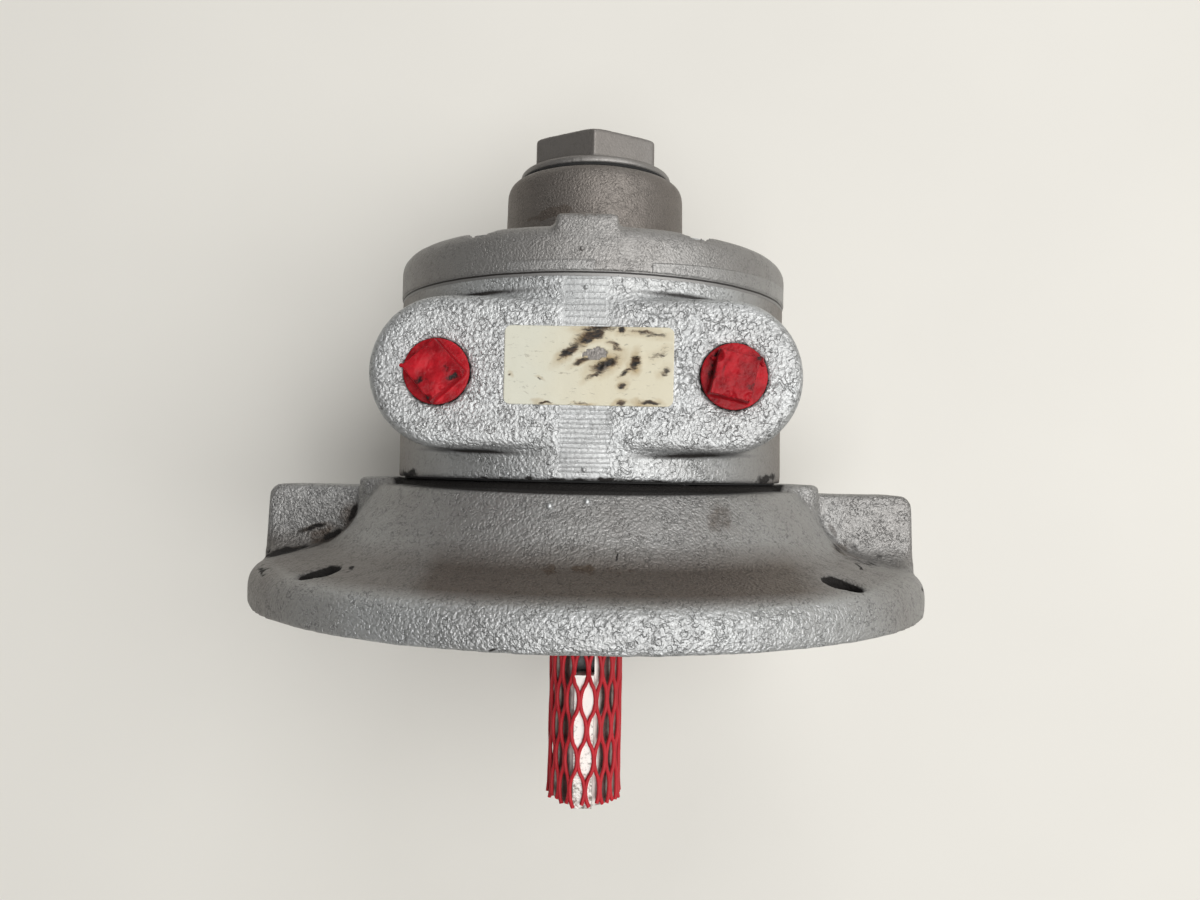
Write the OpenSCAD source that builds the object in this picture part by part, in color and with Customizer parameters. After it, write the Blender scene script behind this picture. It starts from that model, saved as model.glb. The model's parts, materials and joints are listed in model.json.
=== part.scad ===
// Rotary vane air motor with a round face flange, two capped ports and a keyed shaft.
// Shaft axis along Y, shaft towards -Y, port pad towards +Z, origin at the centre of the flange face.

/* [Flange casting] */
// Outer diameter of the mounting flange
flange_d = 165.1; // [158:0.1:180]
// Height of the straight rim of the flange
rim_h = 9.2; // [7:0.1:11]
// Radius of the rounded upper rim edge
rim_round = 4.5; // [1:0.1:6]
// Bolt circle of the flange holes
flange_pcd = 149.225; // [145:0.005:152]
// Diameter of the flange holes
flange_hole_d = 7.94; // [6:0.01:10]
// Diameter of the pilot register
pilot_d = 114.3; // [110:0.1:118]
// Height of the pilot register
pilot_h = 4.1; // [2:0.1:6]
// Diameter of the hub cone where it meets the flange
hub_base_d = 125; // [120:0.5:130]
// Height of the flange surface at the foot of the hub cone
hub_base_h = 13.6; // [12:0.1:16]
// Diameter of the hub cone at its top
hub_top_d = 106.5; // [102:0.5:110]
// Height of the hub above the flange face
hub_h = 27.4; // [25:0.1:32]
// Fillet at the foot of the hub cone
hub_fillet = 3.5; // [3:0.5:9]
// Outer diameter of the bearing hub inside the pilot
bearing_hub_d = 68; // [60:0.5:72]
// Inner diameter of the pilot ring
pilot_bore_d = 100; // [98:0.5:104]
// Depth of the recess floor behind the flange face
recess_h = 16; // [13:0.1:18]
// Thickness of the ribs in the recess
rib_t = 6; // [4:0.5:9]
// Reach of the side lugs from the axis
lug_x = 56.6; // [55:0.1:62]
// Half width of a side lug
lug_y = 17; // [13:0.5:20]
// Reach of the side webs from the axis at their foot
web_x = 82; // [76:0.1:82.3]
// Thickness of the side webs
web_t = 16; // [10:0.5:20]
// Height of the side webs above the flange face
web_h = 27; // [22:0.1:29]
// Gap between hub and body
cover_gap = 2.1; // [0.8:0.1:3]

/* [Body] */
// Outer diameter of the body
body_d = 97.2; // [95:0.1:104]
// Length of the body
body_len = 43.4; // [40:0.1:56]
// Bore of the rotor chamber
chamber_d = 69; // [66:0.1:71]
// Offset of the chamber axis from the shaft axis
chamber_offset = 4; // [2.5:0.1:4.5]
// Height of the pad face above the shaft axis
pad_z = 48.8; // [48.7:0.1:53]
// Width of the port pad
pad_w = 91.5; // [84:0.5:94]
// Breadth of the port pad along the shaft
pad_b = 32.5; // [26:0.5:34]
// Edge rounding of the port pad
pad_round = 2.6; // [1:0.1:5]
// Distance of each port from the middle
port_x = 30.9; // [27:0.1:31.5]
// Diameter of the port thread
port_d = 13.2; // [11:0.1:14]
// Depth of the port thread
port_depth = 13; // [10:0.1:15]
// Diameter of the passage from port to chamber
passage_d = 9; // [6:0.1:10]
// Thickness of the body gaskets
gasket_t = 0.4; // [0.2:0.1:0.8]
// Inset of the front gasket and the register from the body wall
gasket_inset = 1.4; // [0.5:0.1:1.8]
// Inset of the rear gasket from the body wall
rear_inset = 0.5; // [0.2:0.1:1.8]

/* [Rear cover] */
// Diameter of the rear cover
rear_d = 97.8; // [95:0.1:102]
// Thickness of the rear cover
rear_t = 10.4; // [9.6:0.1:14]
// Rounding of the rear cover's edge
rear_round = 4; // [1:0.1:5]
// Diameter of the bearing boss at its foot
boss_d = 46.4; // [45:0.1:50]
// Diameter of the bearing boss at its top
boss_top_d = 45.4; // [44:0.1:48]
// Height of the bearing boss above the rear cover's inner face
boss_h = 32.2; // [29:0.1:36]
// Rounding of the boss top
boss_round = 3.2; // [0.5:0.1:3.5]
// Width of the edge tab on the rear cover
tab_w = 13.2; // [9:0.1:18]
// Height of the edge tab above the rear cover's face
tab_h = 2; // [1:0.1:4]
// Length of the edge tab towards the boss
tab_len = 11; // [6:0.5:18]

/* [End cap] */
// Diameter of the cap's thread
cap_thread_d = 36.2; // [35.6:0.1:37]
// Diameter of the cap's collar
cap_collar_d = 39.2; // [37.5:0.1:41]
// Thickness of the cap's collar
cap_collar_t = 2; // [1:0.1:3]
// Width across the flats of the cap's hexagon
cap_hex = 30; // [26:0.1:32]
// Height of the cap's hexagon
cap_hex_h = 7.5; // [5:0.1:10]
// Thickness of the cap gasket
cap_gasket_t = 0.9; // [0.5:0.1:1.5]

/* [Shaft] */
// Diameter of the output shaft
shaft_d = 15.875; // [14:0.005:16.5]
// Length of the output shaft beyond the flange face
shaft_out = 52.4; // [46:0.1:60]
// Width of the key
key_w = 4.76; // [4:0.01:5.5]
// Depth of the keyway floor from the shaft axis
key_floor = 5.19; // [4.5:0.01:6]
// Length of the key
key_len = 32.8; // [26:0.1:34]
// Length of the keyway
keyway_len = 40; // [36:0.1:44]
// Diameter of the rotor seat
seat_d = 19; // [18:0.1:20]

/* [Bearings and seal] */
// Bore of the drive bearing
drive_bore = 17; // [16.8:0.1:17.6]
// Outer diameter of the drive bearing
drive_od = 40; // [38:0.1:42]
// Width of the drive bearing
drive_w = 12; // [11.4:0.1:12.2]
// Ball diameter of the drive bearing
drive_ball = 6.747; // [6:0.001:7]
// Bore of the dead end bearing
dead_bore = 15; // [14:0.1:16]
// Outer diameter of the dead end bearing
dead_od = 35; // [34:0.1:35.6]
// Width of the dead end bearing
dead_w = 11; // [10.4:0.1:12]
// Ball diameter of the dead end bearing
dead_ball = 5.953; // [5.5:0.001:6.2]
// Number of balls in each bearing
ball_count = 8; // [6:1:8]
// Depth of the drive bearing's seat behind the flange face
drive_seat = 18; // [17.6:0.1:18.6]
// Outer diameter of the shaft seal
seal_od = 28; // [26:0.5:30]
// Width of the shaft seal
seal_w = 6.2; // [5:0.1:7]
// Thickness of the bearing's retaining ring
snap_t = 1.4; // [1:0.1:2]

/* [Rotor and vanes] */
// Gap between rotor and chamber at the sealing line
rotor_gap = 0.3; // [0.2:0.05:0.6]
// Thickness of a vane
vane_t = 4.5; // [3:0.1:6]
// Height of a vane
vane_h = 16; // [12:0.1:17]
// Play of a vane in its slot
vane_play = 0.1; // [0.05:0.01:0.2]
// Number of vanes
vane_count = 4; // [4:1:4]
// Clearance at each end of the rotor
end_play = 0.1; // [0.05:0.01:0.2]

/* [Fasteners] */
// Diameter of the cover bolts
bolt_d = 4.83; // [4:0.01:5.5]
// Width across the flats of the bolt heads
bolt_af = 7.94; // [7:0.01:9]
// Height of the bolt heads
bolt_head_h = 3; // [2:0.1:4]
// Grip of the bolts in the body
bolt_grip = 13; // [9:0.1:14]
// Number of bolts in each cover
bolt_count = 6; // [6:1:6]
// Bolt circle of the cover bolts
bolt_pcd = 84.8; // [83:0.1:87]
// Diameter of the dowel pins
dowel_d = 4.8; // [3:0.1:6]
// Length of the dowel pins
dowel_len = 12; // [8:0.1:16]

/* [Plugs, label and net] */
// Diameter of the plug collar
plug_collar_d = 14; // [13.6:0.1:16]
// Height of the plug collar above the pad
plug_collar_h = 0.6; // [0.4:0.1:3]
// Width of the plug's square head at its foot
plug_head = 9.6; // [8:0.1:10]
// Share of that width left at the top of the head
plug_taper = 0.88; // [0.7:0.01:1]
// Height of the plug's square head
plug_head_h = 3.8; // [2:0.1:6]
// Length of the plug's thread
plug_thread = 8; // [5:0.1:9.5]
// Turn of the left plug's head
plug_turn_left = 39; // [0:1:90]
// Turn of the right plug's head
plug_turn_right = 79; // [0:1:90]
// Width of the label
label_w = 35.3; // [28:0.1:40]
// Height of the label
label_h = 16.5; // [12:0.1:20]
// Thickness of the label
label_t = 0.2; // [0.1:0.05:0.4]
// Wall of the net sleeve
net_t = 1.1; // [0.8:0.1:1.6]
// Number of net gaps around
net_around = 16; // [12:1:16]
// Number of net gap rows
net_rows = 7; // [5:1:7]
// Width of a net strand
net_strand = 1.25; // [1:0.05:1.6]

/* [Hidden] */
$fn = 64;
eps = 0.02;
slip = 0.05;
hole_play = 0.1;
run_play = 0.05;
ball_play = 0.2;

flange_r = flange_d / 2;
hole_ring_r = min(flange_pcd / 2, flange_r - flange_hole_d);
web_reach = min(web_x, flange_r - 0.4);
body_r = body_d / 2;
rear_r = rear_d / 2;
chamber_r = chamber_d / 2;
hub_top_r = hub_top_d / 2;
hub_base_r = hub_base_d / 2;
gasket_r = body_r - gasket_inset;
bolt_ring_r = bolt_pcd / 2;
bolt_r = bolt_d / 2;

// Stations along the shaft, measured from the flange face
body_front = hub_h + cover_gap;
register_end = body_front - gasket_t;
body_rear = body_front + body_len;
rear_in = body_rear + gasket_t;
rear_out = rear_in + rear_t;
boss_end = rear_in + boss_h;
cap_seat = boss_end + cap_gasket_t;
cap_hex_start = cap_seat + cap_collar_t;
pad_mid = body_front + body_len / 2 + 0.7;
port_mid = pad_mid - 0.2;
label_mid = pad_mid + 1.5;
label_x = 0.8;
drive_start = drive_seat - drive_w;
snap_start = drive_start - snap_t;
seal_start = drive_seat + 0.8;
seal_end = seal_start + seal_w;
dead_seat = rear_out + 1.6;
dead_end = dead_seat + dead_w;
shaft_end = dead_end + 2;
rotor_start = register_end + end_play;
rotor_end = rear_in - end_play;
shaft_step = snap_start - 0.6;
rear_step_r = dead_bore / 2 + 1;
bearing_front = snap_start - 2.4;

rotor_r = chamber_r - chamber_offset - rotor_gap;
vane_top = rotor_r - 0.3;
vane_foot = vane_top - vane_h;
slot_foot = vane_foot - 0.4;
shaft_hole_r = seat_d / 2 + 0.7;

lug_top = body_front - 0.2;
lug_round = 4;
web_draft = 0.7;
web_round = 3;
web_fillet = 6;
corner_fillet = 3;
lug_fillet = 9;
web_foot = rim_h + 0.6;
lug_foot = hub_base_h - 1.5;

tab_x = -0.2;
rear_spot_floor = rear_out - bolt_head_h - 1;
spot_r = bolt_af * 0.66;

key_top = key_floor + key_w;
net_in = shaft_d / 2 + 0.2;
net_out = net_in + net_t;
net_len = shaft_out - 0.9;
net_key_x = key_w / 2 + 0.25;
net_row_pitch = net_len / (net_rows + 1);
net_gap_w = 2 * PI * net_out / net_around - net_strand;
net_gap_h = 2 * net_row_pitch - 3.4 * net_strand;

iron_silver = [0.66, 0.67, 0.68];
bare_steel = [0.78, 0.79, 0.8];
dark_steel = [0.35, 0.35, 0.37];
plug_red = [0.8, 0.06, 0.08];
label_cream = [0.9, 0.87, 0.76];
seal_black = [0.08, 0.08, 0.08];
vane_brown = [0.35, 0.25, 0.17];
cage_brass = [0.75, 0.62, 0.35];

// Shared shapes

// Turns a shape made along z so that it lies along the shaft, with the pad on its -y side
module along_shaft() {
  rotate([-90, 0, 0]) children();
}

// Places a shape at a distance from the axis, at an angle from the pad side
module around(angle, distance) {
  translate([distance * sin(angle), -distance * cos(angle), 0]) rotate([0, 0, angle]) children();
}

// Places one copy for each cover bolt
module at_bolts() {
  for (i = [0 : bolt_count - 1]) around((i + 0.5) * 360 / bolt_count, bolt_ring_r) children();
}

// Places one copy for each dowel pin
module at_dowels() {
  for (angle = [0, 180]) around(angle, bolt_ring_r) children();
}

// A ring or tube from one station to another
module tube(outer, inner, from, to) {
  translate([0, 0, from]) difference() {
    cylinder(r = outer, h = to - from);
    translate([0, 0, -1]) cylinder(r = inner, h = to - from + 2);
  }
}

// A solid round from one station to another
module rod(radius, from, to) {
  translate([0, 0, from]) cylinder(r = radius, h = to - from);
}

// What is cut from a profile to round an outer upper corner
module corner_cut(x, y, r) {
  translate([x - r, y - r]) difference() {
    square(r + 1);
    circle(r);
  }
}

// What is added to a profile in the corner between an upright wall and a floor
module corner_fill(x, y, r) {
  translate([x - eps, y - eps]) difference() {
    square(r);
    translate([r, r]) circle(r);
  }
}

// Profile of a bearing's outer ring, with its ball groove
module outer_ring(bore, od, w, ball) {
  pitch = (bore + od) / 4;
  rotate_extrude() difference() {
    translate([pitch + 0.32 * ball, 0]) square([od / 2 - pitch - 0.32 * ball, w]);
    translate([pitch, w / 2]) circle(ball / 2 + ball_play);
  }
}

// Profile of a bearing's inner ring, with its ball groove
module inner_ring(bore, od, w, ball) {
  pitch = (bore + od) / 4;
  rotate_extrude() difference() {
    translate([bore / 2, 0]) square([pitch - 0.32 * ball - bore / 2, w]);
    translate([pitch, w / 2]) circle(ball / 2 + ball_play);
  }
}

// Places one copy for each ball of a bearing
module at_balls(bore, od, w) {
  for (i = [0 : ball_count - 1]) rotate([0, 0, i * 360 / ball_count])
    translate([(bore + od) / 4, 0, w / 2]) children();
}

// A bearing cage: a ring with one round pocket for each ball
module cage(bore, od, w, ball) {
  pitch = (bore + od) / 4;
  half = ball / 2 + 0.9;
  difference() {
    tube(pitch + 0.2 * ball, pitch - 0.2 * ball, w / 2 - half, w / 2 + half);
    at_balls(bore, od, w) rotate([0, 90, 0]) cylinder(r = ball / 2 + hole_play, h = ball, center = true);
  }
}

// A hexagon bolt pointing along z, with the seat of its head at zero
module hex_bolt(length) {
  translate([0, 0, -bolt_head_h]) cylinder(d = bolt_af / cos(30), h = bolt_head_h, $fn = 6);
  translate([0, 0, -eps]) cylinder(r = bolt_r, h = length + eps);
}

// A gasket that follows the body's end face
module gasket(from, radius) {
  difference() {
    rod(radius, from, from + gasket_t);
    translate([0, chamber_offset, from - 1]) cylinder(r = chamber_r, h = gasket_t + 2);
    translate([0, 0, from - 1]) at_bolts() cylinder(r = bolt_r + hole_play, h = gasket_t + 2);
    translate([0, 0, from - 1]) at_dowels() cylinder(d = dowel_d + 2 * slip, h = gasket_t + 2);
  }
}

// Flange casting

// Outer profile of the flange, the hub cone and the register
module flange_profile() {
  slope_end = flange_r - rim_round;
  difference() {
    union() {
      square([flange_r, rim_h]);
      polygon([[0, rim_h - 1], [slope_end, rim_h - 1], [slope_end, rim_h], [hub_base_r, hub_base_h], [0, hub_base_h]]);
      polygon([[0, hub_base_h - 2], [hub_base_r + 1.5, hub_base_h - 2], [hub_top_r, hub_h], [0, hub_h]]);
      square([gasket_r, register_end]);
    }
    corner_cut(flange_r, rim_h, rim_round);
  }
}

// One side lug with its web, on the +x side
module side_lug() {
  lug_in = hub_top_r - 10;
  difference() {
    translate([lug_in, -lug_y, web_foot - 3]) {
      cube([lug_x - lug_in - lug_round, 2 * lug_y, lug_top - web_foot + 3]);
      translate([0, lug_round, 0]) cube([lug_x - lug_in, 2 * (lug_y - lug_round), lug_top - web_foot + 3]);
      for (y = [lug_round, 2 * lug_y - lug_round]) translate([lug_x - lug_in - lug_round, y, 0])
        cylinder(r = lug_round, h = lug_top - web_foot + 3);
    }
    rod(body_r + 0.8, hub_h, lug_top + 1);
  }
  // Web out to the rim, with a rounded upper corner
  translate([0, web_t / 2, 0]) rotate([90, 0, 0]) linear_extrude(web_t) difference() {
    polygon([[lug_in, web_foot - 3], [web_reach, web_foot - 3], [web_reach - web_draft, web_h], [lug_in, web_h]]);
    corner_cut(web_reach - web_draft, web_h, web_round);
  }
  // Fillets at the foot of the web, beside it and at the foot of the lug
  for (side = [-1, 1]) {
    mirror([0, side < 0 ? 1 : 0, 0]) translate([lug_x - 1, 0, 0]) rotate([90, 0, 90])
      linear_extrude(web_reach - lug_x - 1.5) corner_fill(web_t / 2, web_foot, web_fillet);
    mirror([0, side < 0 ? 1 : 0, 0]) translate([0, 0, web_foot - 2])
      linear_extrude(web_h - web_foot - 1) corner_fill(lug_x, web_t / 2, corner_fillet);
  }
  translate([0, lug_y - lug_round, 0]) rotate([90, 0, 0])
    linear_extrude(2 * (lug_y - lug_round)) corner_fill(lug_x, lug_foot - 2, lug_fillet);
}

module drive_end_cover() {
  color(iron_silver) along_shaft() difference() {
    union() {
      rotate_extrude() {
        flange_profile();
        hub_foot_fill();
      }
      side_lug();
      mirror([1, 0, 0]) side_lug();
      rod(pilot_d / 2, -pilot_h, 1);
    }
    // Recess inside the pilot, crossed by ribs
    difference() {
      tube(pilot_bore_d / 2, bearing_hub_d / 2, -pilot_h - 1, recess_h);
      for (i = [0 : bolt_count - 1]) rotate([0, 0, i * 360 / bolt_count])
        translate([-rib_t / 2, 0, bearing_front + 2]) cube([rib_t, pilot_d, recess_h]);
    }
    rod(bearing_hub_d / 2 + eps, -pilot_h - 1, bearing_front);
    // Bearing bore, retaining ring groove, seal bore and shaft hole
    rod(drive_od / 2 + slip, bearing_front - 1, drive_seat);
    rod(drive_od / 2 + 1, snap_start - slip, drive_start);
    rod(seal_od / 2 + slip, drive_seat - 1, seal_end);
    rod(shaft_hole_r, seal_end - 1, register_end + 1);
    // Flange holes, cover bolt holes and dowel holes
    for (i = [0 : 3]) around(45 + i * 90, hole_ring_r)
      translate([0, 0, -1]) cylinder(d = flange_hole_d, h = hub_h);
    translate([0, 0, recess_h - 1]) at_bolts() cylinder(r = bolt_r + hole_play, h = hub_h);
    translate([0, 0, body_front - dowel_len / 2]) at_dowels() cylinder(d = dowel_d + 2 * slip, h = dowel_len);
  }
}

// Fillet profile between the flange surface and the hub cone
module hub_foot_fill() {
  lean = atan2(hub_base_r + 1.5 - hub_top_r, hub_h - hub_base_h + 2);
  translate([hub_base_r, hub_base_h]) difference() {
    polygon([[-2, -1], [hub_fillet, -1 - hub_fillet * 0.22], [-hub_fillet * tan(lean), hub_fillet]]);
    translate([hub_fillet * 0.9, hub_fillet * 1.05]) circle(hub_fillet * 1.12);
  }
}

// Body

// The port pad, with round ends and a rounded upper edge
module port_pad() {
  end_r = pad_b / 2;
  straight = pad_w / 2 - end_r;
  translate([0, pad_mid, 0]) {
    for (turn = [-90, 90]) translate([turn > 0 ? -straight : straight, 0, 0]) rotate([0, 0, turn])
      rotate_extrude(angle = 180) difference() {
        square([end_r, pad_z]);
        corner_cut(end_r, pad_z, pad_round);
      }
    translate([-straight, 0, 0]) rotate([90, 0, 90]) linear_extrude(2 * straight) difference() {
      translate([-end_r, 0]) square([pad_b, pad_z]);
      corner_cut(end_r, pad_z, pad_round);
      mirror([1, 0]) corner_cut(end_r, pad_z, pad_round);
    }
  }
}

module body() {
  color(iron_silver) difference() {
    union() {
      along_shaft() rod(body_r, body_front, body_rear);
      port_pad();
    }
    along_shaft() {
      translate([0, chamber_offset, 0]) rod(chamber_r, body_front - 1, body_rear + 1);
      for (from = [body_front - 1, body_rear - bolt_grip - 1]) translate([0, 0, from]) at_bolts()
        cylinder(r = bolt_r + slip, h = bolt_grip + 2);
      for (from = [body_front, body_rear]) translate([0, 0, from - dowel_len / 2]) at_dowels()
        cylinder(d = dowel_d + 2 * slip, h = dowel_len);
    }
    for (side = [-1, 1]) translate([side * port_x, port_mid, 0]) {
      translate([0, 0, pad_z - port_depth]) cylinder(d = port_d, h = port_depth + 1);
      cylinder(d = passage_d, h = pad_z);
    }
  }
}

module drive_gasket() {
  color(seal_black) along_shaft() gasket(register_end, gasket_r);
}

module dead_gasket() {
  color(seal_black) along_shaft() gasket(body_rear, body_r - rear_inset);
}

// Rear cover

// Outer profile of the rear cover and its bearing boss
module rear_profile() {
  difference() {
    union() {
      translate([0, rear_in]) square([rear_r, rear_t]);
      polygon([[0, rear_in], [boss_d / 2, rear_out], [boss_top_d / 2, boss_end], [0, boss_end]]);
      corner_fill(boss_d / 2, rear_out, 2.5);
    }
    corner_cut(rear_r, rear_out, rear_round);
    corner_cut(boss_top_d / 2, boss_end, boss_round);
  }
}

module dead_end_cover() {
  color(iron_silver) along_shaft() difference() {
    union() {
      rotate_extrude() rear_profile();
      intersection() {
        rod(rear_r - 0.3, rear_in + 1, rear_out + tab_h);
        translate([tab_x - tab_w / 2, -rear_r, rear_in + 1]) cube([tab_w, tab_len, rear_t + tab_h]);
      }
    }
    rod(shaft_hole_r, rear_in - 1, dead_seat);
    rod(dead_od / 2 - 4, dead_seat - 1.5, dead_seat + 1);
    rod(dead_od / 2 + slip, dead_seat, dead_end);
    rod(cap_thread_d / 2 + slip, dead_end, boss_end + 1);
    translate([0, 0, rear_in - 1]) at_bolts() cylinder(r = bolt_r + hole_play, h = rear_t + 2);
    translate([0, 0, rear_spot_floor]) at_bolts() cylinder(r = spot_r, h = rear_t);
    translate([0, 0, body_rear - dowel_len / 2]) at_dowels() cylinder(d = dowel_d + 2 * slip, h = dowel_len);
  }
}

module end_cap() {
  color(iron_silver) along_shaft() difference() {
    union() {
      rod(cap_thread_d / 2, dead_end, cap_seat + eps);
      rotate_extrude() difference() {
        translate([0, cap_seat]) square([cap_collar_d / 2, cap_collar_t]);
        corner_cut(cap_collar_d / 2, cap_hex_start, cap_collar_t * 0.6);
      }
      intersection() {
        rotate([0, 0, 30]) translate([0, 0, cap_hex_start - 1])
          cylinder(d = cap_hex / cos(30), h = cap_hex_h + 1, $fn = 6);
        rod_with_chamfer(cap_hex / sqrt(3) + 0.1, cap_hex_start - 1, cap_hex_start + cap_hex_h, 1.6);
      }
    }
    rod(dead_od / 2 - 3.2, dead_end - 1, cap_seat - 1.5);
  }
}

// A solid round with a chamfer at its far end
module rod_with_chamfer(radius, from, to, chamfer) {
  rod(radius, from, to - chamfer * 0.4);
  translate([0, 0, to - chamfer * 0.4]) cylinder(r1 = radius, r2 = radius - chamfer, h = chamfer * 0.4);
}

module end_cap_gasket() {
  color(seal_black) along_shaft() tube(cap_collar_d / 2 + 0.2, cap_thread_d / 2 + slip, boss_end, cap_seat);
}

// Fasteners

module drive_cover_bolts() {
  color(dark_steel) along_shaft() translate([0, 0, recess_h]) at_bolts()
    hex_bolt(body_front + bolt_grip - recess_h);
}

module dead_cover_bolts() {
  color(dark_steel) along_shaft() translate([0, 0, rear_spot_floor]) at_bolts() mirror([0, 0, 1])
    hex_bolt(rear_spot_floor - body_rear + bolt_grip);
}

module drive_dowels() {
  color(dark_steel) along_shaft() translate([0, 0, body_front - dowel_len / 2]) at_dowels()
    cylinder(d = dowel_d, h = dowel_len);
}

module dead_dowels() {
  color(dark_steel) along_shaft() translate([0, 0, body_rear - dowel_len / 2]) at_dowels()
    cylinder(d = dowel_d, h = dowel_len);
}

// Plugs and label

// A port plug: thread, round collar and square head
module port_plug(side, turn) {
  color(plug_red) translate([side * port_x, port_mid, pad_z]) {
    translate([0, 0, -plug_thread]) cylinder(d = port_d - 2 * slip, h = plug_thread + eps);
    cylinder(d = plug_collar_d, h = plug_collar_h);
    rotate([0, 0, turn + 45]) translate([0, 0, plug_collar_h - eps])
      cylinder(d1 = plug_head * sqrt(2), d2 = plug_head * plug_taper * sqrt(2), h = plug_head_h, $fn = 4);
  }
}

module port_plug_left() {
  port_plug(-1, plug_turn_left);
}

module port_plug_right() {
  port_plug(1, plug_turn_right);
}

module label() {
  corner = 1.2;
  color(label_cream) translate([label_x, label_mid, pad_z]) linear_extrude(label_t) union() {
    square([label_w - 2 * corner, label_h], center = true);
    square([label_w, label_h - 2 * corner], center = true);
    for (x = [-1, 1], y = [-1, 1]) translate([x * (label_w / 2 - corner), y * (label_h / 2 - corner)])
      circle(corner);
  }
}

// Seal, retaining ring and bearings

module shaft_seal() {
  color(seal_black) along_shaft() rotate_extrude() difference() {
    translate([seat_d / 2 + run_play, seal_start]) square([seal_od / 2 - seat_d / 2 - run_play, seal_w]);
    // Hollow on the chamber side of the lip
    translate([seat_d / 2 + 1, seal_start + 1.4]) square([seal_od / 2 - seat_d / 2 - 2.4, seal_w]);
  }
}

module drive_bearing_retaining_ring() {
  color(dark_steel) along_shaft() difference() {
    tube(drive_od / 2 + 0.8, drive_od / 2 - 2, snap_start, drive_start);
    translate([-3, 0, snap_start - 1]) cube([6, drive_od, snap_t + 2]);
  }
}

module drive_bearing_outer_ring() {
  color(bare_steel) along_shaft() translate([0, 0, drive_start]) outer_ring(drive_bore, drive_od, drive_w, drive_ball);
}

module drive_bearing_inner_ring() {
  color(bare_steel) along_shaft() translate([0, 0, drive_start]) inner_ring(drive_bore, drive_od, drive_w, drive_ball);
}

module drive_bearing_cage() {
  color(cage_brass) along_shaft() translate([0, 0, drive_start]) cage(drive_bore, drive_od, drive_w, drive_ball);
}

module drive_bearing_balls() {
  color(bare_steel) along_shaft() translate([0, 0, drive_start]) at_balls(drive_bore, drive_od, drive_w)
    sphere(d = drive_ball);
}

module dead_bearing_outer_ring() {
  color(bare_steel) along_shaft() translate([0, 0, dead_seat]) outer_ring(dead_bore, dead_od, dead_w, dead_ball);
}

module dead_bearing_inner_ring() {
  color(bare_steel) along_shaft() translate([0, 0, dead_seat]) inner_ring(dead_bore, dead_od, dead_w, dead_ball);
}

module dead_bearing_cage() {
  color(cage_brass) along_shaft() translate([0, 0, dead_seat]) cage(dead_bore, dead_od, dead_w, dead_ball);
}

module dead_bearing_balls() {
  color(bare_steel) along_shaft() translate([0, 0, dead_seat]) at_balls(dead_bore, dead_od, dead_w)
    sphere(d = dead_ball);
}

// Shaft, rotor and vanes

module shaft() {
  chamfer = 0.8;
  color(bare_steel) along_shaft() difference() {
    union() {
      translate([0, 0, -shaft_out]) cylinder(r1 = shaft_d / 2 - chamfer, r2 = shaft_d / 2, h = chamfer);
      rod(shaft_d / 2, chamfer - shaft_out, shaft_step);
      rod(drive_bore / 2, shaft_step, drive_seat);
      rod(seat_d / 2, drive_seat, rotor_end);
      rod(rear_step_r, rotor_end, dead_seat);
      rod(dead_bore / 2, dead_seat, shaft_end);
    }
    translate([-key_w / 2 - slip, -shaft_d, -shaft_out - 1]) cube([key_w + 2 * slip, shaft_d - key_floor, keyway_len + 1]);
  }
}

module shaft_key() {
  color(bare_steel) along_shaft() translate([-key_w / 2, -key_top, 0.4 - shaft_out])
    cube([key_w, key_w, key_len]);
}

// Cross section of the sleeve's surface at a distance outside the shaft and key
module sleeve_outline(grow) {
  circle(net_in + grow);
  reach = key_top + 0.25 + grow;
  half = net_key_x + grow;
  corner = 0.6 + grow;
  translate([-half, -reach + corner]) square([2 * half, reach - corner]);
  translate([-half + corner, -reach]) square([2 * (half - corner), reach]);
  for (side = [-1, 1]) translate([side * (half - corner), -reach + corner]) circle(corner);
}

module shaft_net_sleeve() {
  color(plug_red) along_shaft() translate([0, 0, -shaft_out]) difference() {
    linear_extrude(net_len) difference() {
      sleeve_outline(net_t);
      sleeve_outline(0);
    }
    for (row = [1 : net_rows], i = [0 : net_around - 1]) rotate([0, 0, (i + (row % 2) / 2) * 360 / net_around])
      translate([0, -net_in + 1, row * net_row_pitch]) rotate([90, 0, 0]) linear_extrude(2 * net_in)
        polygon([[0, -net_gap_h / 2], [net_gap_w / 2, 0], [0, net_gap_h / 2], [-net_gap_w / 2, 0]]);
  }
}

module rotor() {
  color(dark_steel) along_shaft() difference() {
    tube(rotor_r, seat_d / 2, rotor_start, rotor_end);
    for (i = [0 : vane_count - 1]) rotate([0, 0, i * 360 / vane_count + 45])
      translate([slot_foot, -vane_t / 2 - vane_play, rotor_start - 1])
        cube([rotor_r, vane_t + 2 * vane_play, rotor_end - rotor_start + 2]);
  }
}

// One vane, drawn back in its slot
module vane(index) {
  color(vane_brown) along_shaft() rotate([0, 0, index * 360 / vane_count + 45])
    translate([vane_foot, -vane_t / 2, rotor_start + slip])
      cube([vane_h, vane_t, rotor_end - rotor_start - 2 * slip]);
}

module vane_1() {
  vane(0);
}

module vane_2() {
  vane(1);
}

module vane_3() {
  vane(2);
}

module vane_4() {
  vane(3);
}

drive_end_cover();
body();
dead_end_cover();
end_cap();
end_cap_gasket();
drive_gasket();
dead_gasket();
drive_cover_bolts();
dead_cover_bolts();
drive_dowels();
dead_dowels();
port_plug_left();
port_plug_right();
label();
shaft_seal();
drive_bearing_retaining_ring();
drive_bearing_outer_ring();
dead_bearing_outer_ring();
shaft();
shaft_key();
shaft_net_sleeve();
rotor();
vane_1();
vane_2();
vane_3();
vane_4();
drive_bearing_inner_ring();
dead_bearing_inner_ring();
drive_bearing_cage();
drive_bearing_balls();
dead_bearing_cage();
dead_bearing_balls();
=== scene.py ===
import json
import math
import random
import bmesh
import bpy
from mathutils import Matrix, Vector, noise


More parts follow.
